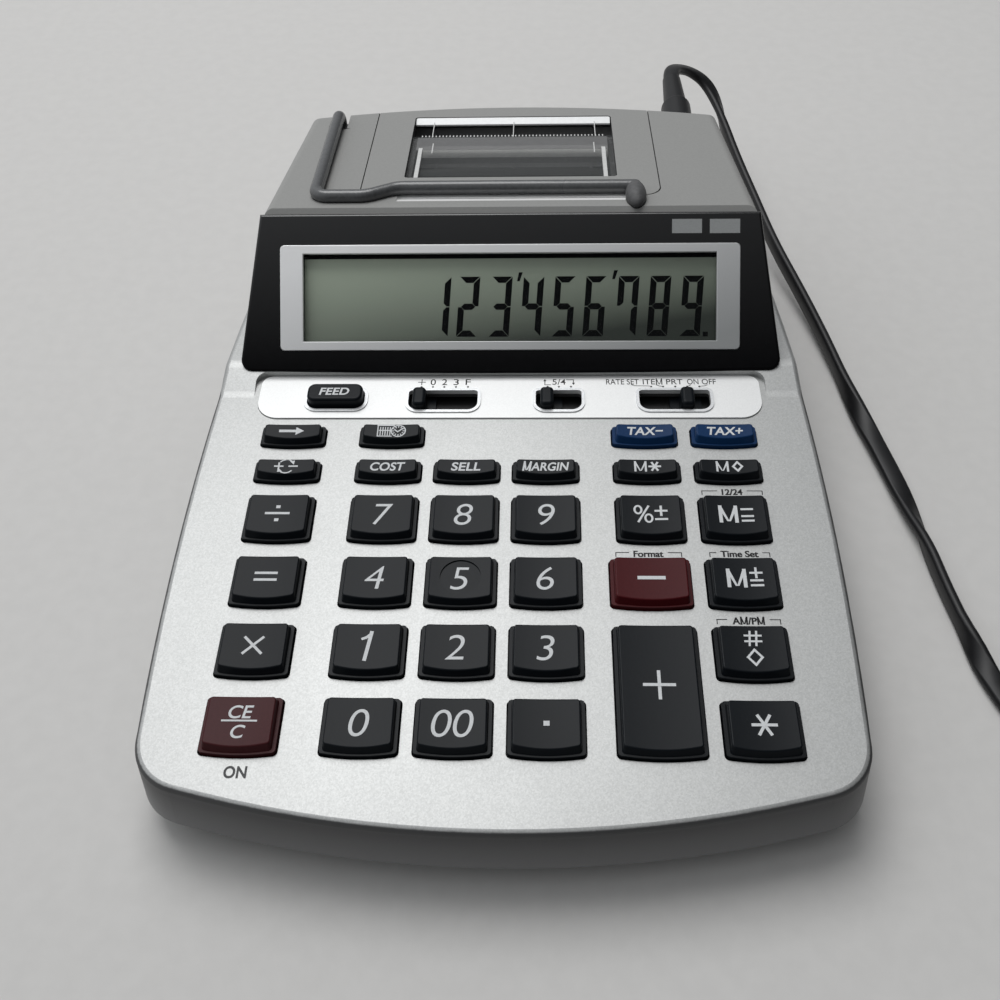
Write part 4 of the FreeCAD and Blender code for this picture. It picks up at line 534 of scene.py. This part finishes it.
def on_contact(point):
    return point.z < CONTACT_TOP_Z and abs(point.x) < CONTACT_HALF and point.y > CONTACT_FRONT_Y


def second_finishes():
    # Inner faces of the window opening get the painted shade
    second_finish("printer_cover", WINDOW_SIDE_SHADE, lambda point: inside(ROOF, point, WINDOW_SHADE_PART))
    # Ramp faces get the painted highlight
    second_finish("printer_housing", RAMP_PAINTED_HIGHLIGHT, lambda point: inside(ROOF, point, RAMP_HIGHLIGHT_PART))
    second_finish("printer_cover", RAMP_PAINTED_HIGHLIGHT, lambda point: inside(ROOF, point, RAMP_HIGHLIGHT_PART))
    second_finish("display_bezel", RING, lambda point: inside(DISPLAY, point, RING_PART))
    second_finish("paper_arm", KNOB, on_egg)
    second_finish("printer_frame", GUIDE, lambda point: inside(ROOF, point, GUIDE_PART))
    second_finish("printer_frame", PLATEN, lambda point: inside(ROOF, point, PLATEN_PART))
    second_finish("switch_plate", RIM, lambda point: inside(DECK, point, RIM_PART))
    second_finish("circuit_board", SWITCH, on_switch)
    second_finish("circuit_board", STEEL, on_contact)
    second_finish("wall_adapter", STEEL, lambda point: point.y > PRONG_START_Y)


# Pieces built here

def piece(name, vertices, faces, material, body, smooth=False):
    """A mesh in one material, which rides on a body if one is named."""
    mesh = bpy.data.meshes.new(name)
    mesh.from_pydata([tuple(vertex) for vertex in vertices], [], faces)
    mesh.materials.append(material)
    mesh.update()
    if smooth:
        mesh.shade_smooth()
    made = bpy.data.objects.new(name, mesh)
    bpy.context.scene.collection.objects.link(made)
    if body:
        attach(made, body)
    return made


def mesh_of(curve):
    """Vertices and faces of a curve or a text; the curve itself is removed."""
    holder = bpy.data.objects.new(curve.name, curve)
    bpy.context.scene.collection.objects.link(holder)
    bpy.context.view_layer.update()
    mesh = bpy.data.meshes.new_from_object(holder.evaluated_get(bpy.context.evaluated_depsgraph_get()))
    vertices = [vertex.co.copy() for vertex in mesh.vertices]
    faces = [tuple(polygon.vertices) for polygon in mesh.polygons]
    bpy.data.objects.remove(holder)
    bpy.data.curves.remove(curve)
    bpy.data.meshes.remove(mesh)
    return vertices, faces


def glyphs(text, bold, spacing):
    """Outline faces of a text in the built-in face, starting at zero."""
    curve = bpy.data.curves.new("words", "FONT")
    curve.body = text
    curve.offset = bold
    curve.space_character = spacing
    vertices, faces = mesh_of(curve)
    return [(vertex.x, vertex.y) for vertex in vertices], faces


class Print:
    """Flat signs gathered in a leaning face's own plane, in millimetres from a middle."""

    def __init__(self, middle=(0, 0)):
        self.middle = middle
        self.vertices = []
        self.faces = []

    def add_points(self, points):
        start = len(self.vertices)
        self.vertices += [(self.middle[0] + x, self.middle[1] + y) for x, y in points]
        return start

    def add_face(self, points):
        start = self.add_points(points)
        self.faces.append(tuple(range(start, start + len(points))))

    def bar(self, across, up):
        """An upright rectangle, from its ranges."""
        self.add_face([(across[0], up[0]), (across[1], up[0]), (across[1], up[1]), (across[0], up[1])])

    def line(self, points, width):
        """Strokes of one width, with square ends."""
        half = width / 2
        for (x0, y0), (x1, y1) in zip(points, points[1:]):
            run = math.hypot(x1 - x0, y1 - y0)
            dx, dy = (x1 - x0) / run * half, (y1 - y0) / run * half
            self.add_face([(x0 - dx - dy, y0 - dy + dx), (x0 - dx + dy, y0 - dy - dx),
                           (x1 + dx + dy, y1 + dy - dx), (x1 + dx - dy, y1 + dy + dx)])

    def ring(self, x, y, radius_x, radius_y, width, first=0.0, last=360.0, count=28):
        """A band round a point, from one angle to another."""
        half = width / 2
        for index in range(count):
            start = math.radians(first + (last - first) * index / count)
            end = math.radians(first + (last - first) * (index + 1) / count)
            self.add_face([(x + (radius_x + out) * math.cos(angle), y + (radius_y + out) * math.sin(angle))
                           for angle, out in ((start, -half), (start, half), (end, half), (end, -half))])

    def words(self, text, x, y, height, bold, slant=0.0, stretch=1.0, spacing=1.0):
        """Letters in the built-in face round a point, as high as a capital; M is drawn in strokes."""
        scale = height / CAPITAL
        points, faces = glyphs(text, bold, spacing)
        middle = (min(px for px, py in points) + max(px for px, py in points)) / 2
        gaps = []
        for index, letter in enumerate(text):
            if letter == "M":
                right = max(px for px, py in glyphs(text[:index + 1], 0.0, spacing)[0])
                single = [px for px, py in glyphs("M", 0.0, 1.0)[0]]
                gaps.append((right - max(single) + min(single), right))
        start = self.add_points([(x + ((px - middle) * stretch + (py - CAPITAL / 2) * slant) * scale,
                                  y + (py - CAPITAL / 2) * scale) for px, py in points])
        for face in faces:
            centre = sum(points[corner][0] for corner in face) / len(face)
            if not any(left - M_MARGIN < centre < right + M_MARGIN for left, right in gaps):
                self.faces.append(tuple(start + corner for corner in face))
        for left, right in gaps:
            letter_m(self, x + ((left + right) / 2 - middle) * stretch * scale, y,
                     (right - left + 2 * bold) * stretch * scale, height, (M_STEM + 2 * bold) * scale, slant)

    def fitted_words(self, text, x, y, height, width, bold):
        """Words stretched to a width."""
        points = glyphs(text, bold, 1.0)[0]
        natural = max(px for px, py in points) - min(px for px, py in points)
        self.words(text, x, y, height, bold, 0.0, width / natural * CAPITAL / height)

    def lay_on(self, name, node, face, material, body):
        """Drop the signs straight down onto a part and make them one piece."""
        mesh = nodes[node].data
        tree = BVHTree.FromPolygons([vertex.co for vertex in mesh.vertices],
                                    [polygon.vertices for polygon in mesh.polygons])
        up = facing(face)
        placed = []
        for x, y in self.vertices:
            above = face @ Vector((x * MM, y * MM, PRINT_START * MM))
            hit = tree.ray_cast(above, -up)[0]
            if hit is None:
                hit = face @ Vector((x * MM, y * MM, 0))
            placed.append(hit + up * PRINT_LIFT * MM)
        return piece(name, placed, self.faces, material, body)


# Signs on the keys

def arrow_right(sign, x, y, size):
    sign.line([(x - size, y), (x + size * 0.35, y)], size * 0.28)
    sign.add_face([(x + size * 0.3, y + size * 0.42), (x + size * 0.3, y - size * 0.42), (x + size, y)])


def plus(sign, x, y, half, width):
    sign.line([(x - half + width / 2, y), (x + half - width / 2, y)], width)
    sign.line([(x, y - half + width / 2), (x, y + half - width / 2)], width)


def dash(sign, x, y, half, width):
    sign.line([(x - half + width / 2, y), (x + half - width / 2, y)], width)


def diamond(sign, x, y, half_x, half_y, width):
    sign.line([(x, y + half_y), (x + half_x, y), (x, y - half_y), (x - half_x, y), (x, y + half_y)], width)


def star(sign, x, y, radius, width):
    for angle in (0, 60, 120):
        dx, dy = radius * math.cos(math.radians(angle)), radius * math.sin(math.radians(angle))
        sign.line([(x - dx, y - dy), (x + dx, y + dy)], width)


def letter_m(sign, x, y, width, height, stroke, slant=0.0):
    half_x = (width - stroke) / 2
    half_y = height / 2

    def leaning(points):
        return [(x + px + py * slant, y + py) for px, py in points]

    sign.line(leaning([(-half_x, -half_y), (-half_x, half_y)]), stroke)
    sign.line(leaning([(half_x, -half_y), (half_x, half_y)]), stroke)
    foot = -half_y
    for side in (-1, 1):
        sign.add_face(leaning([(side * (half_x + stroke / 2), half_y), (side * (half_x - stroke / 2), half_y),
                               (-side * stroke * 0.1, foot), (side * stroke * 0.5, foot)]))


def clock_sign(sign):
    """A small calendar sheet beside a clock face."""
    left = -3.35
    sign.line([(left, 1.8), (left, -1.65), (0.1, -1.65)], 0.28)
    sign.line([(left, 1.8), (0.55, 1.8)], 0.4)
    for column in (0.65, 1.25, 1.85, 2.45, 3.05):
        sign.line([(left + column, 1.1), (left + column, -1.3)], 0.26)
    sign.line([(left + 0.4, 0.15), (left + 3.2, 0.15)], 0.3)
    middle = 1.75
    sign.ring(middle, 0, 1.75, 1.75, 0.3)
    for hour in range(12):
        angle = math.radians(30 * hour)
        sign.line([(middle + 1.15 * math.cos(angle), 1.15 * math.sin(angle)),
                   (middle + 1.45 * math.cos(angle), 1.45 * math.sin(angle))], 0.24)
    sign.line([(0.95, 0.3), (1.6, -0.25), (2.7, 0.7)], 0.34)


def sign_change_sign(sign):
    """Two curved arrows that chase each other round a plus and a minus."""
    radius_x, radius_y = 1.95, 2.0
    for turn, out in ((0, 1), (180, -1)):
        sign.ring(0, 0, radius_x, radius_y, 0.34, 38 + turn, 140 + turn, 14)
        angle = math.radians(38 + turn)
        tip_x, tip_y = radius_x * math.cos(angle), radius_y * math.sin(angle)
        sign.add_face([(tip_x - out * 0.75, tip_y + out * 0.3), (tip_x + out * 0.45, tip_y + out * 0.5),
                       (tip_x + out * 0.3, tip_y - out * 0.75)])
    plus(sign, -1.75, 0, 1.15, 0.42)
    dash(sign, 1.75, 0, 1.15, 0.42)


# Signs of keys: shapes with their sizes in millimetres, from the middle of the key's top
KEY_SIGNS = {
    "1": [(Print.line, [(-0.35, -3.25), (0.62, 3.25)], 0.8),
          (Print.line, [(0.5, 2.9), (-0.35, 2.1), (-1.15, 1.75)], 0.62)],
    "shift": [(arrow_right, 0, 0, 2.9)],
    "clock": [(clock_sign,)],
    "sign_change": [(sign_change_sign,)],
    "memory_total": [(letter_m, -1.7, 0, 3.0, 2.6, 0.5), (star, 1.7, 0, 1.25, 0.52)],
    "memory_subtotal": [(letter_m, -1.7, 0, 3.0, 2.6, 0.5), (diamond, 1.9, 0, 1.05, 1.3, 0.5)],
    "memory_add": [(letter_m, -1.75, 0, 4.4, 4.1, 0.82), (dash, 2.6, -0.6, 1.45, 0.55),
                   (dash, 2.6, -1.9, 1.45, 0.55), (dash, 2.6, 1.4, 1.45, 0.55)],
    "memory_subtract": [(letter_m, -1.75, 0, 4.4, 4.1, 0.82), (dash, 2.6, -0.6, 1.45, 0.55),
                        (dash, 2.6, -1.9, 1.45, 0.55), (plus, 2.6, 1.4, 1.45, 0.52)],
    "divide": [(dash, 0, 0, 2.9, 0.65), (dash, 0, 1.9, 0.5, 0.85), (dash, 0, -1.9, 0.5, 0.85)],
    "percent": [(Print.ring, -3.0, 1.2, 0.8, 1.1, 0.5), (Print.ring, -0.6, -1.2, 0.8, 1.1, 0.5),
                (Print.line, [(-3.0, -2.2), (-0.6, 2.2)], 0.5), (plus, 2.3, 0.9, 1.5, 0.55),
                (dash, 2.3, -1.5, 1.5, 0.55)],
    "equals": [(dash, 0, 0.9, 2.6, 0.65), (dash, 0, -0.9, 2.6, 0.65)],
    "minus": [(dash, 0, 0, 3.1, 0.9)],
    "multiply": [(Print.line, [(-1.9, -1.9), (1.9, 1.9)], 0.6),
                 (Print.line, [(-1.9, 1.9), (1.9, -1.9)], 0.6)],
    "plus": [(plus, 0, 0, 3.4, 0.7)],
    "non_add": [(Print.line, [(-0.85, 0.7), (-0.55, 4.0)], 0.45), (dash, 0, 1.65, 1.9, 0.45),
                (Print.line, [(0.55, 0.7), (0.85, 4.0)], 0.45), (dash, 0, 3.05, 1.9, 0.45),
                (diamond, 0, -2.2, 1.5, 1.8, 0.5)],
    "clear": [(Print.words, "CE", 0, 2.1, CLEAR_HEIGHT, CLEAR_WEIGHT, CLEAR_SLANT, CLEAR_STRETCH),
              (dash, 0, 0, 3.7, 0.4),
              (Print.words, "C", 0, -2.3, CLEAR_HEIGHT, CLEAR_WEIGHT, CLEAR_SLANT, CLEAR_STRETCH)],
    "point": [(dash, 0, 0, 0.62, 1.1)],
    "total": [(star, 0, 0, 2.3, 0.65)],
}


def key_sign(name, sign):
    """Draw a key's own shapes, its word, or the figure that it is named after."""
    if name in KEY_SIGNS:
        for draw, *sizes in KEY_SIGNS[name]:
            draw(sign, *sizes)
    elif name in KEY_WORDS:
        word, stretch = KEY_WORDS[name]
        sign.words(word, 0, 0, WORD_HEIGHT, WORD_WEIGHT, SIGN_SLANT, stretch, WORD_SPACING)
    else:
        sign.words(name, 0, 0, FIGURE_HEIGHT, FIGURE_WEIGHT, SIGN_SLANT, FIGURE_STRETCH, FIGURE_SPACING)


def key_top(name):
    """Middle of a key's top face in the deck's plane, in millimetres."""
    mesh = nodes["key_" + name].data
    back = DECK.inverted()
    flat = [back @ vertex.co for vertex in mesh.vertices]
    high = max(point.z for point in flat)
    top = [point for point in flat if point.z > high - KEY_TOP_DEPTH * MM]
    xs = [point.x for point in top]
    ys = [point.y for point in top]
    return (min(xs) + max(xs)) / 2 / MM, (min(ys) + max(ys)) / 2 / MM


def key_signs():
    for node in nodes:
        if node.startswith("key_"):
            name = node[4:]
            sign = Print(key_top(name))
            key_sign(name, sign)
            body = "feed_button" if name == "feed" else "button_" + name
            sign.lay_on("sign_" + name, node, DECK, PRINT_LIGHT, body)


# Print on the deck and the switch plate

def deck_print():
    power = Print()
    power.words("ON", *POWER_PLACE, POWER_HEIGHT, POWER_WEIGHT, 0.0, POWER_STRETCH, POWER_SPACING)
    power.lay_on("power_print", "upper_housing", DECK, PRINT_GREY, "case")
    labels = Print()
    for text, x, y, reach, left, right in LABELS:
        for shift in (-LABEL_DOUBLE, LABEL_DOUBLE):
            labels.words(text, x + shift, y, LABEL_HEIGHT, LABEL_WEIGHT, 0.0, LABEL_STRETCH)
        for end, near in ((left, x - reach), (right, x + reach)):
            labels.line([(end, y - LABEL_LINE_DOWN), (end, y + LABEL_LINE_UP), (near, y + LABEL_LINE_UP)],
                        LABEL_LINE)
    labels.lay_on("deck_print", "upper_housing", DECK, PRINT_DARK, "case")


def switch_print():
    sign = Print()
    plus(sign, *SWITCH_PLUS)
    for text, x, height, width, bold in SWITCH_WORDS:
        sign.fitted_words(text, x, SWITCH_WORDS_Y, height, width, bold)
    for x in SWITCH_DOTS:
        sign.ring(x, SWITCH_DOTS_Y, SWITCH_DOT / 2, SWITCH_DOT / 2, SWITCH_DOT, count=16)
    for points in SWITCH_ARROWS:
        sign.add_face(points)
    for points in ARROW_LINES:
        sign.line(points, ARROW_STROKE)
    for points in LEADER_LINES:
        sign.line(points, LEADER_STROKE)
    sign.lay_on("switch_print", "switch_plate", DECK, PRINT_DARK, "case")


# Display

def segment_bars():
    """Outlines of the seven bars of a figure, from the foot of its left side."""
    width, height, thick, gap = DIGIT_WIDTH, DIGIT_HEIGHT, DIGIT_THICK, DIGIT_GAP
    middle = height / 2
    inner = width - thick
    low = middle - thick / 2
    high = middle + thick / 2
    return {
        "a": [(gap, height), (width - gap, height), (inner - gap, height - thick),
              (thick + gap, height - thick)],
        "b": [(width, middle + gap), (width, height - gap), (inner, height - thick - gap),
              (inner, high + gap), (width - thick / 2, middle + gap)],
        "c": [(width, gap), (width, middle - gap), (width - thick / 2, middle - gap), (inner, low - gap),
              (inner, thick + gap)],
        "d": [(gap, 0), (thick + gap, thick), (inner - gap, thick), (width - gap, 0)],
        "e": [(0, gap), (thick, thick + gap), (thick, low - gap), (thick / 2, middle - gap),
              (0, middle - gap)],
        "f": [(0, middle + gap), (thick / 2, middle + gap), (thick, high + gap),
              (thick, height - thick - gap), (0, height - gap)],
        "g": [(thick / 2, middle), (thick, high), (inner, high), (width - thick / 2, middle), (inner, low),
              (thick, low)],
    }


def display_figures_and_shadow():
    """Seven-segment figures, leaning a little, with commas at the top, a point and a painted shadow along the
    top and left.
    """
    sign = Print()
    bars = segment_bars()
    for digit, centre in zip(SEGMENTS, DIGIT_MIDDLES):
        start = centre - DIGIT_WIDTH / 2 - DIGIT_LEAN * DIGIT_HEIGHT / 2
        for letter in SEGMENTS[digit]:
            sign.add_face([(start + x + y * DIGIT_LEAN, DIGIT_FOOT + y) for x, y in bars[letter]])
    for x, y in COMMAS:
        sign.add_face([(x + across, y + up) for across, up in COMMA])
    for across, up in DISPLAY_POINT_AND_SHADOW_BARS:
        sign.bar(across, up)
    sign.lay_on("display_figures_and_shadow", "lcd_panel", DISPLAY, DIGIT, "case")


def panel_badges():
    """Two blank pale plates printed on the display panel."""
    badge = Print()
    for across, up in PANEL_BADGES:
        badge.bar(across, up)
    badge.lay_on("panel_badges", "display_bezel", DISPLAY, BADGE, "case")


# Tear window

def block(name, across, back, out, material):
    """A block on the roof's cover, from its ranges."""
    corners = [(x, y, z) for x in across for y in back for z in out]
    placed = [ROOF @ Vector([value * MM for value in corner]) for corner in corners]
    faces = [(0, 1, 3, 2), (4, 6, 7, 5), (0, 4, 5, 1), (2, 3, 7, 6), (0, 2, 6, 4), (1, 5, 7, 3)]
    piece(name, placed, faces, material, "roof_cover")


def span(middle, half):
    return middle - half, middle + half


def window_marks():
    """Painted highlight strip along the window's rear edge, side posts, ground band, the paper's width marks
    and painted highlights on the cutter's teeth.
    """
    ends = [ROOF @ Vector((side * STRIP_HALF * MM, back * MM, out * MM))
            for side in (-1, 1) for back, out in STRIP_PROFILE]
    faces = [(3, 2, 1, 0), (4, 5, 6, 7), (0, 1, 5, 4), (1, 2, 6, 5), (2, 3, 7, 6), (3, 0, 4, 7)]
    piece("window_lip_highlight", ends, faces, LIP_PAINTED_HIGHLIGHT, "roof_cover")
    for side in (-1, 1):
        block("window_post", span(side * POST_X, POST_HALF), *POST_REST, POST)
    block("ground_band", *BAND, CUTTER_BAND)
    for x in REAR_MARKS_X:
        block("width_mark", span(x, REAR_MARK_HALF), *REAR_MARK_REST, POST)
    # Pale ticks on every tooth: painted highlights on the serration
    for tooth in range(-LAST_TOOTH, LAST_TOOTH + 1):
        block("tooth_highlight", span(tooth, TOOTH_HIGHLIGHT_HALF), *TOOTH_HIGHLIGHT_REST, POST)
    for x in FRONT_MARKS_X:
        block("width_mark", span(x, FRONT_MARK_HALF), *FRONT_MARK_REST, POST)


# Lead, plug and coil

def coil_points():
    """Control points of the wound length: layer on layer, in and out by turns, and a tail to the rear."""
    start = Vector(LEAD_ROUTE[-1])
    here = start + Vector((COIL_LEAD_IN, 0, 0))
    points = [here]
    heading = 1
    radius = COIL_OUTER
    step = -COIL_PITCH / 4
    for layer in range(COIL_LAYERS):
        last = layer == COIL_LAYERS - 1
        turns = COIL_HALF_TURNS + (1 if last else 0)
        for half_turn in range(turns + (0 if last else 1)):
            climbing = half_turn == COIL_HALF_TURNS and not last
            radius += 0 if climbing else step
            middle = here + Vector((0, heading * radius, 0))
            for index in range(1, COIL_POINTS + 1):
                angle = math.pi * index / COIL_POINTS
                rise = COIL_RISE * index / COIL_POINTS if climbing else 0
                points.append(middle + Vector((heading * radius * math.sin(angle),
                                               -heading * radius * math.cos(angle), rise)))
            here = points[-1]
            heading = -heading
            radius += 0 if climbing else step
            if climbing:
                step = -step
    radius += COIL_PITCH / 2
    middle = here + Vector((0, heading * radius, 0))
    for index in range(1, COIL_POINTS // 2 + 1):
        angle = math.pi * index / COIL_POINTS
        points.append(middle + Vector((heading * radius * math.sin(angle),
                                       -heading * radius * math.cos(angle), 0)))
    points.append(points[-1] + Vector((0, heading * COIL_TAIL / 2, 0)))
    points.append(points[-1] + Vector((0, heading * COIL_TAIL / 2, 0)))
    return points


def spline_points(points):
    """Points of a smooth spline that the route guides."""
    curve = bpy.data.curves.new("lead_route", "CURVE")
    curve.dimensions = "3D"
    curve.resolution_u = SPLINE_STEPS
    spline = curve.splines.new("NURBS")
    spline.points.add(len(points) - 1)
    for target, point in zip(spline.points, points):
        target.co = (point[0] * MM, point[1] * MM, point[2] * MM, 1)
    spline.order_u = SPLINE_ORDER
    spline.use_endpoint_u = True
    return mesh_of(curve)[0]


def smooth_step(value, low, high):
    part = min(1.0, max(0.0, (value - low) / (high - low)))
    return part * part * (3 - 2 * part)


def lead_turn(travelled):
    """How far the flat lead has turned about its own line: a quarter over each stretch."""
    return math.pi / 2 * sum(smooth_step(travelled, low, high) for low, high in LEAD_TURNS)


def twin_section():
    """Outline of two round cores side by side, as (across, up)."""
    radius = LEAD_THICK / 2 * MM
    offset = (LEAD_WIDTH - LEAD_THICK) / 2 * MM
    section = []
    for side in (1, -1):
        for index in range(CORE_STEPS + 1):
            angle = math.radians(CORE_ARC * (index / CORE_STEPS - 0.5)) + (0 if side > 0 else math.pi)
            section.append((side * offset + radius * math.cos(angle), radius * math.sin(angle)))
    return section


def twin_lead():
    line = spline_points([Vector(point) for point in LEAD_ROUTE] + coil_points())
    section = twin_section()
    vertices = []
    travelled = 0.0
    for index, point in enumerate(line):
        before = line[max(index - 1, 0)]
        after = line[min(index + 1, len(line) - 1)]
        ahead = (after - before).normalized()
        level = ahead.cross(Vector((0, 0, 1))).normalized()
        upward = level.cross(ahead).normalized()
        turn = lead_turn(travelled)
        across = level * math.cos(turn) + upward * math.sin(turn)
        outward = upward * math.cos(turn) - level * math.sin(turn)
        lift = (LEAD_THICK + (LEAD_WIDTH - LEAD_THICK) * abs(math.sin(turn))) / 2 * MM
        raised = Vector((point.x, point.y, max(point.z, lift)))
        vertices += [raised + across * x + outward * y for x, y in section]
        travelled += (after - point).length
    count = len(section)
    faces = []
    for ring in range(len(line) - 1):
        for index in range(count):
            after = (index + 1) % count
            faces.append((ring * count + index, ring * count + after, (ring + 1) * count + after,
                          (ring + 1) * count + index))
    faces.append(tuple(range(count)))
    faces.append(tuple(range(len(vertices) - count, len(vertices))))
    lead = piece("lead", vertices, faces, LEAD, "case", smooth=True)
    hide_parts("cord", "cord_coil")


# Table, light and camera

def table_top():
    half = TABLE_HALF
    corners = [(-half, -half, 0), (half, -half, 0), (half, half, 0), (-half, half, 0)]
    paint = plastic("table_paint", TABLE_COLOR, 0.6, 220.0, 0.03, 0.015, specular=0.2)
    top = piece("table_top", corners, [(0, 1, 2, 3)], paint, None)


def lamp():
    """One wide square panel that faces the part."""
    light = bpy.data.lights.new("ceiling_panel", "AREA")
    light.shape = "RECTANGLE"
    light.size = LAMP_SIDE
    light.size_y = LAMP_SIDE
    light.energy = LAMP_POWER
    holder = bpy.data.objects.new("ceiling_panel", light)
    holder.location = LAMP_PLACE
    holder.rotation_euler = (-Vector(LAMP_PLACE)).to_track_quat("-Z", "Y").to_euler()
    bpy.context.scene.collection.objects.link(holder)


def studio():
    """Surroundings lighter above and behind on the left; seen directly they are an even pale grey."""
    world = bpy.data.worlds.new("studio")
    bpy.context.scene.world = world
    world.use_nodes = True
    tree = world.node_tree
    toward = tree.nodes.new("ShaderNodeTexCoord").outputs["Generated"]
    level = mapped(tree, along(tree, toward, BRIGHT_SIDE), SKY_DARKEST_AT, 1.0, SKY_DARK, SKY_BRIGHT)
    background = tree.nodes["Background"]
    background.inputs["Color"].default_value = SKY_COLOR
    seen = tree.nodes.new("ShaderNodeLightPath").outputs["Is Camera Ray"]
    tree.links.new(mapped(tree, seen, 0.0, 1.0, level, BACKDROP_LEVEL), background.inputs["Strength"])
    lamp()


def camera():
    lens = bpy.data.cameras.new("camera")
    lens.lens = CAMERA_LENS
    lens.clip_start = CAMERA_NEAR
    holder = bpy.data.objects.new("camera", lens)
    holder.location = CAMERA_PLACE
    holder.rotation_euler = [math.radians(angle) for angle in CAMERA_TURN]
    bpy.context.scene.collection.objects.link(holder)
    bpy.context.scene.camera = holder


camera()
studio()
table_top()
finish_nodes()
second_finishes()
twin_lead()
key_signs()
deck_print()
switch_print()
display_figures_and_shadow()
panel_badges()
window_marks()
bpy.context.scene.view_settings.view_transform = "Standard"
